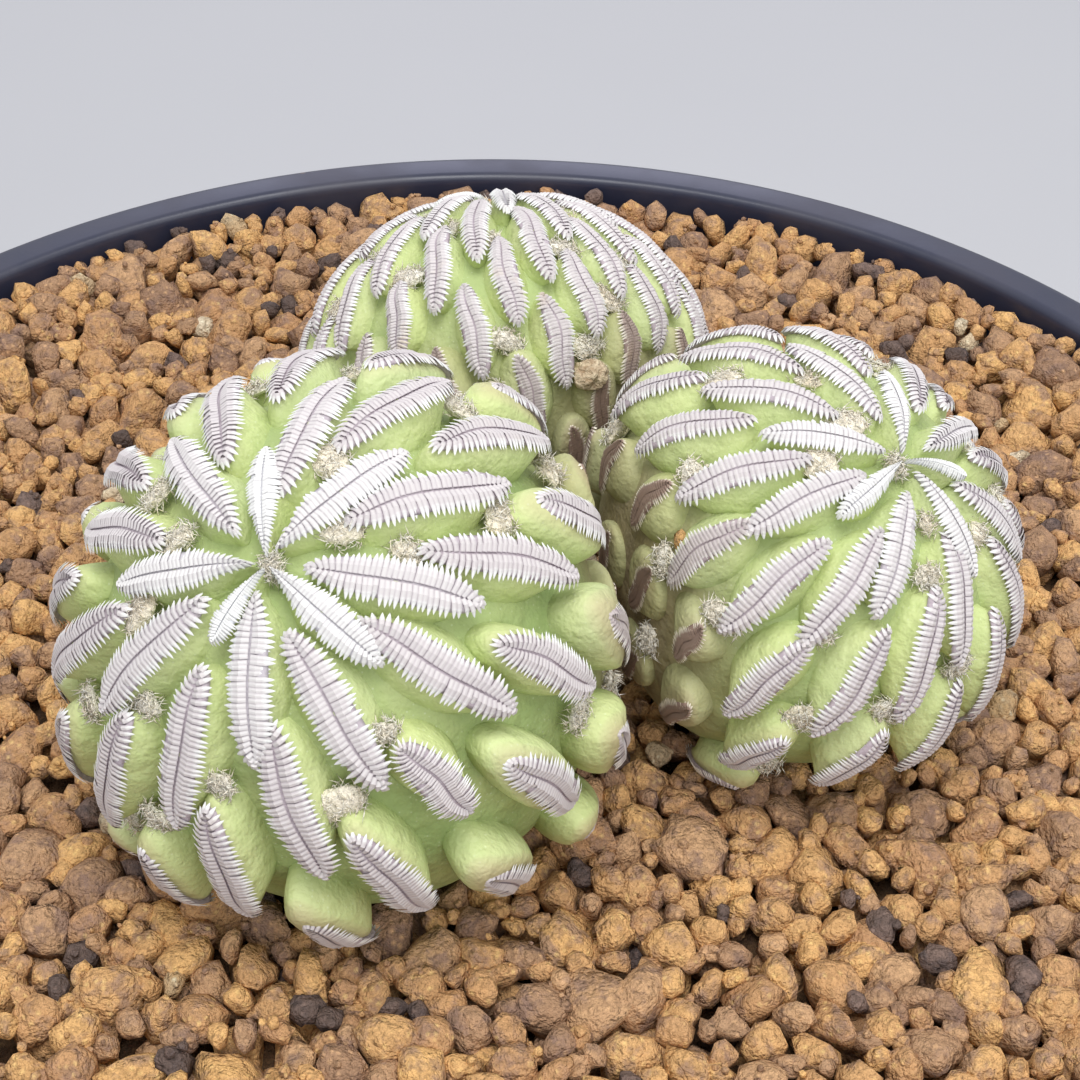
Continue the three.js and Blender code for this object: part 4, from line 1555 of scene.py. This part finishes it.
class CACTUS_OT_dried_fruit(bpy.types.Operator):
    """Makes the shrivelled fruit that is caught low on the back head."""

    bl_idname = "cactus.dried_fruit"
    bl_label = "Dried fruit"

    def execute(self, context):
        directions, triangles = ball_mesh(4)
        folds = 0.24 * (1 - np.abs(ripple(directions, 1.5, 9)))
        wrinkles = folds + 0.05 * ripple(directions, 0.8, 5) + 0.03 * ripple(directions, 0.35, 6)
        vertices = fruit_place() + directions * [1.05, 0.95, 0.9] * (0.8 + wrinkles)[:, None]
        make_piece("dried_fruit", vertices, [triangles], fruit_material())
        return {"FINISHED"}


# Stage


class CACTUS_OT_stage(bpy.types.Operator):
    """Lays the plain floor, hangs the soft lights and sets the camera at the photograph's
    angle."""

    bl_idname = "cactus.stage"
    bl_label = "Stage"

    def execute(self, context):
        scene = context.scene
        settings = scene.cactus_stage
        mesh = bpy.data.meshes.new("floor")
        side = 2.0
        corners = [(-side, -side, 0), (side, -side, 0), (side, side, 0), (-side, side, 0)]
        mesh.from_pydata(corners, [], [(0, 1, 2, 3)])
        mesh.materials.append(floor_material(settings))
        floor = bpy.data.objects.new("floor", mesh)
        scene.collection.objects.link(floor)
        self.lamp(scene, "key_light", settings.key, 0.3, (0.02, -0.1, 0.6))
        self.lamp(scene, "fill_light", settings.fill, 0.5, (0.25, -0.45, 0.45))
        self.lamp(scene, "back_light", settings.back, 0.4, (0, 0.82, 0.52), (0.78, 0.77, 1.0))
        world = bpy.data.worlds.new("soft_sky")
        world.use_nodes = True
        background = world.node_tree.nodes["Background"]
        background.inputs["Color"].default_value = (0.96, 0.98, 1.0, 1.0)
        background.inputs["Strength"].default_value = settings.sky
        scene.world = world
        scene.view_settings.view_transform = "Standard"
        camera_data = bpy.data.cameras.new("camera")
        camera_data.lens = CAMERA_LENS
        camera_data.sensor_width = 36
        camera_data.clip_start = 0.005
        camera = bpy.data.objects.new("camera", camera_data)
        camera.location = CAMERA_PLACE
        camera.rotation_euler = (CAMERA_TILT, 0, 0)
        scene.collection.objects.link(camera)
        scene.camera = camera
        return {"FINISHED"}

    def lamp(self, scene, name, watts, size, place, tint=(1.0, 1.0, 1.0)):
        """A square soft light at a place, turned to the plant."""
        data = bpy.data.lights.new(name, "AREA")
        data.energy = watts
        data.color = tint
        data.size = size
        lamp = bpy.data.objects.new(name, data)
        lamp.location = place
        away = np.array(place) - np.array(LIGHT_TARGET)
        lamp.rotation_euler = (
            math.atan2(math.hypot(away[0], away[1]), away[2]),
            0,
            math.atan2(away[1], away[0]) + math.pi / 2,
        )
        scene.collection.objects.link(lamp)


# Panel and registration

OPERATORS = (
    CACTUS_OT_pot,
    CACTUS_OT_hidden_parts,
    CACTUS_OT_soil_bed,
    CACTUS_OT_granules,
    CACTUS_OT_flesh,
    CACTUS_OT_combs,
    CACTUS_OT_wool,
    CACTUS_OT_dried_fruit,
    CACTUS_OT_stage,
)

SETTINGS = {
    "cactus_pot": PotSettings,
    "cactus_soil": SoilSettings,
    "cactus_plant": PlantSettings,
    "cactus_stage": StageSettings,
}


class CACTUS_PT_panel(bpy.types.Panel):
    """Lists the steps and the settings."""

    bl_idname = "CACTUS_PT_panel"
    bl_label = "Potted hatchet cactus"
    bl_space_type = "VIEW_3D"
    bl_region_type = "UI"
    bl_category = "Cactus"

    def draw(self, context):
        for operator in OPERATORS:
            self.layout.operator(operator.bl_idname)
        for key, group in SETTINGS.items():
            box = self.layout.box()
            for name in group.__annotations__:
                box.prop(getattr(context.scene, key), name)


def register():
    """Registers the settings, steps and panel, and hangs the settings on the scene."""
    for cls in (*SETTINGS.values(), *OPERATORS, CACTUS_PT_panel):
        bpy.utils.register_class(cls)
    for key, group in SETTINGS.items():
        setattr(bpy.types.Scene, key, bpy.props.PointerProperty(type=group))


def unregister():
    """Undoes register()."""
    for key in SETTINGS:
        delattr(bpy.types.Scene, key)
    for cls in reversed((*SETTINGS.values(), *OPERATORS, CACTUS_PT_panel)):
        bpy.utils.unregister_class(cls)


def main():
    """Builds everything in order."""
    register()
    bpy.ops.cactus.pot()
    bpy.ops.cactus.hidden_parts()
    bpy.ops.cactus.soil_bed()
    bpy.ops.cactus.granules()
    bpy.ops.cactus.flesh()
    bpy.ops.cactus.combs()
    bpy.ops.cactus.wool()
    bpy.ops.cactus.dried_fruit()
    bpy.ops.cactus.stage()


if __name__ == "__main__":
    main()
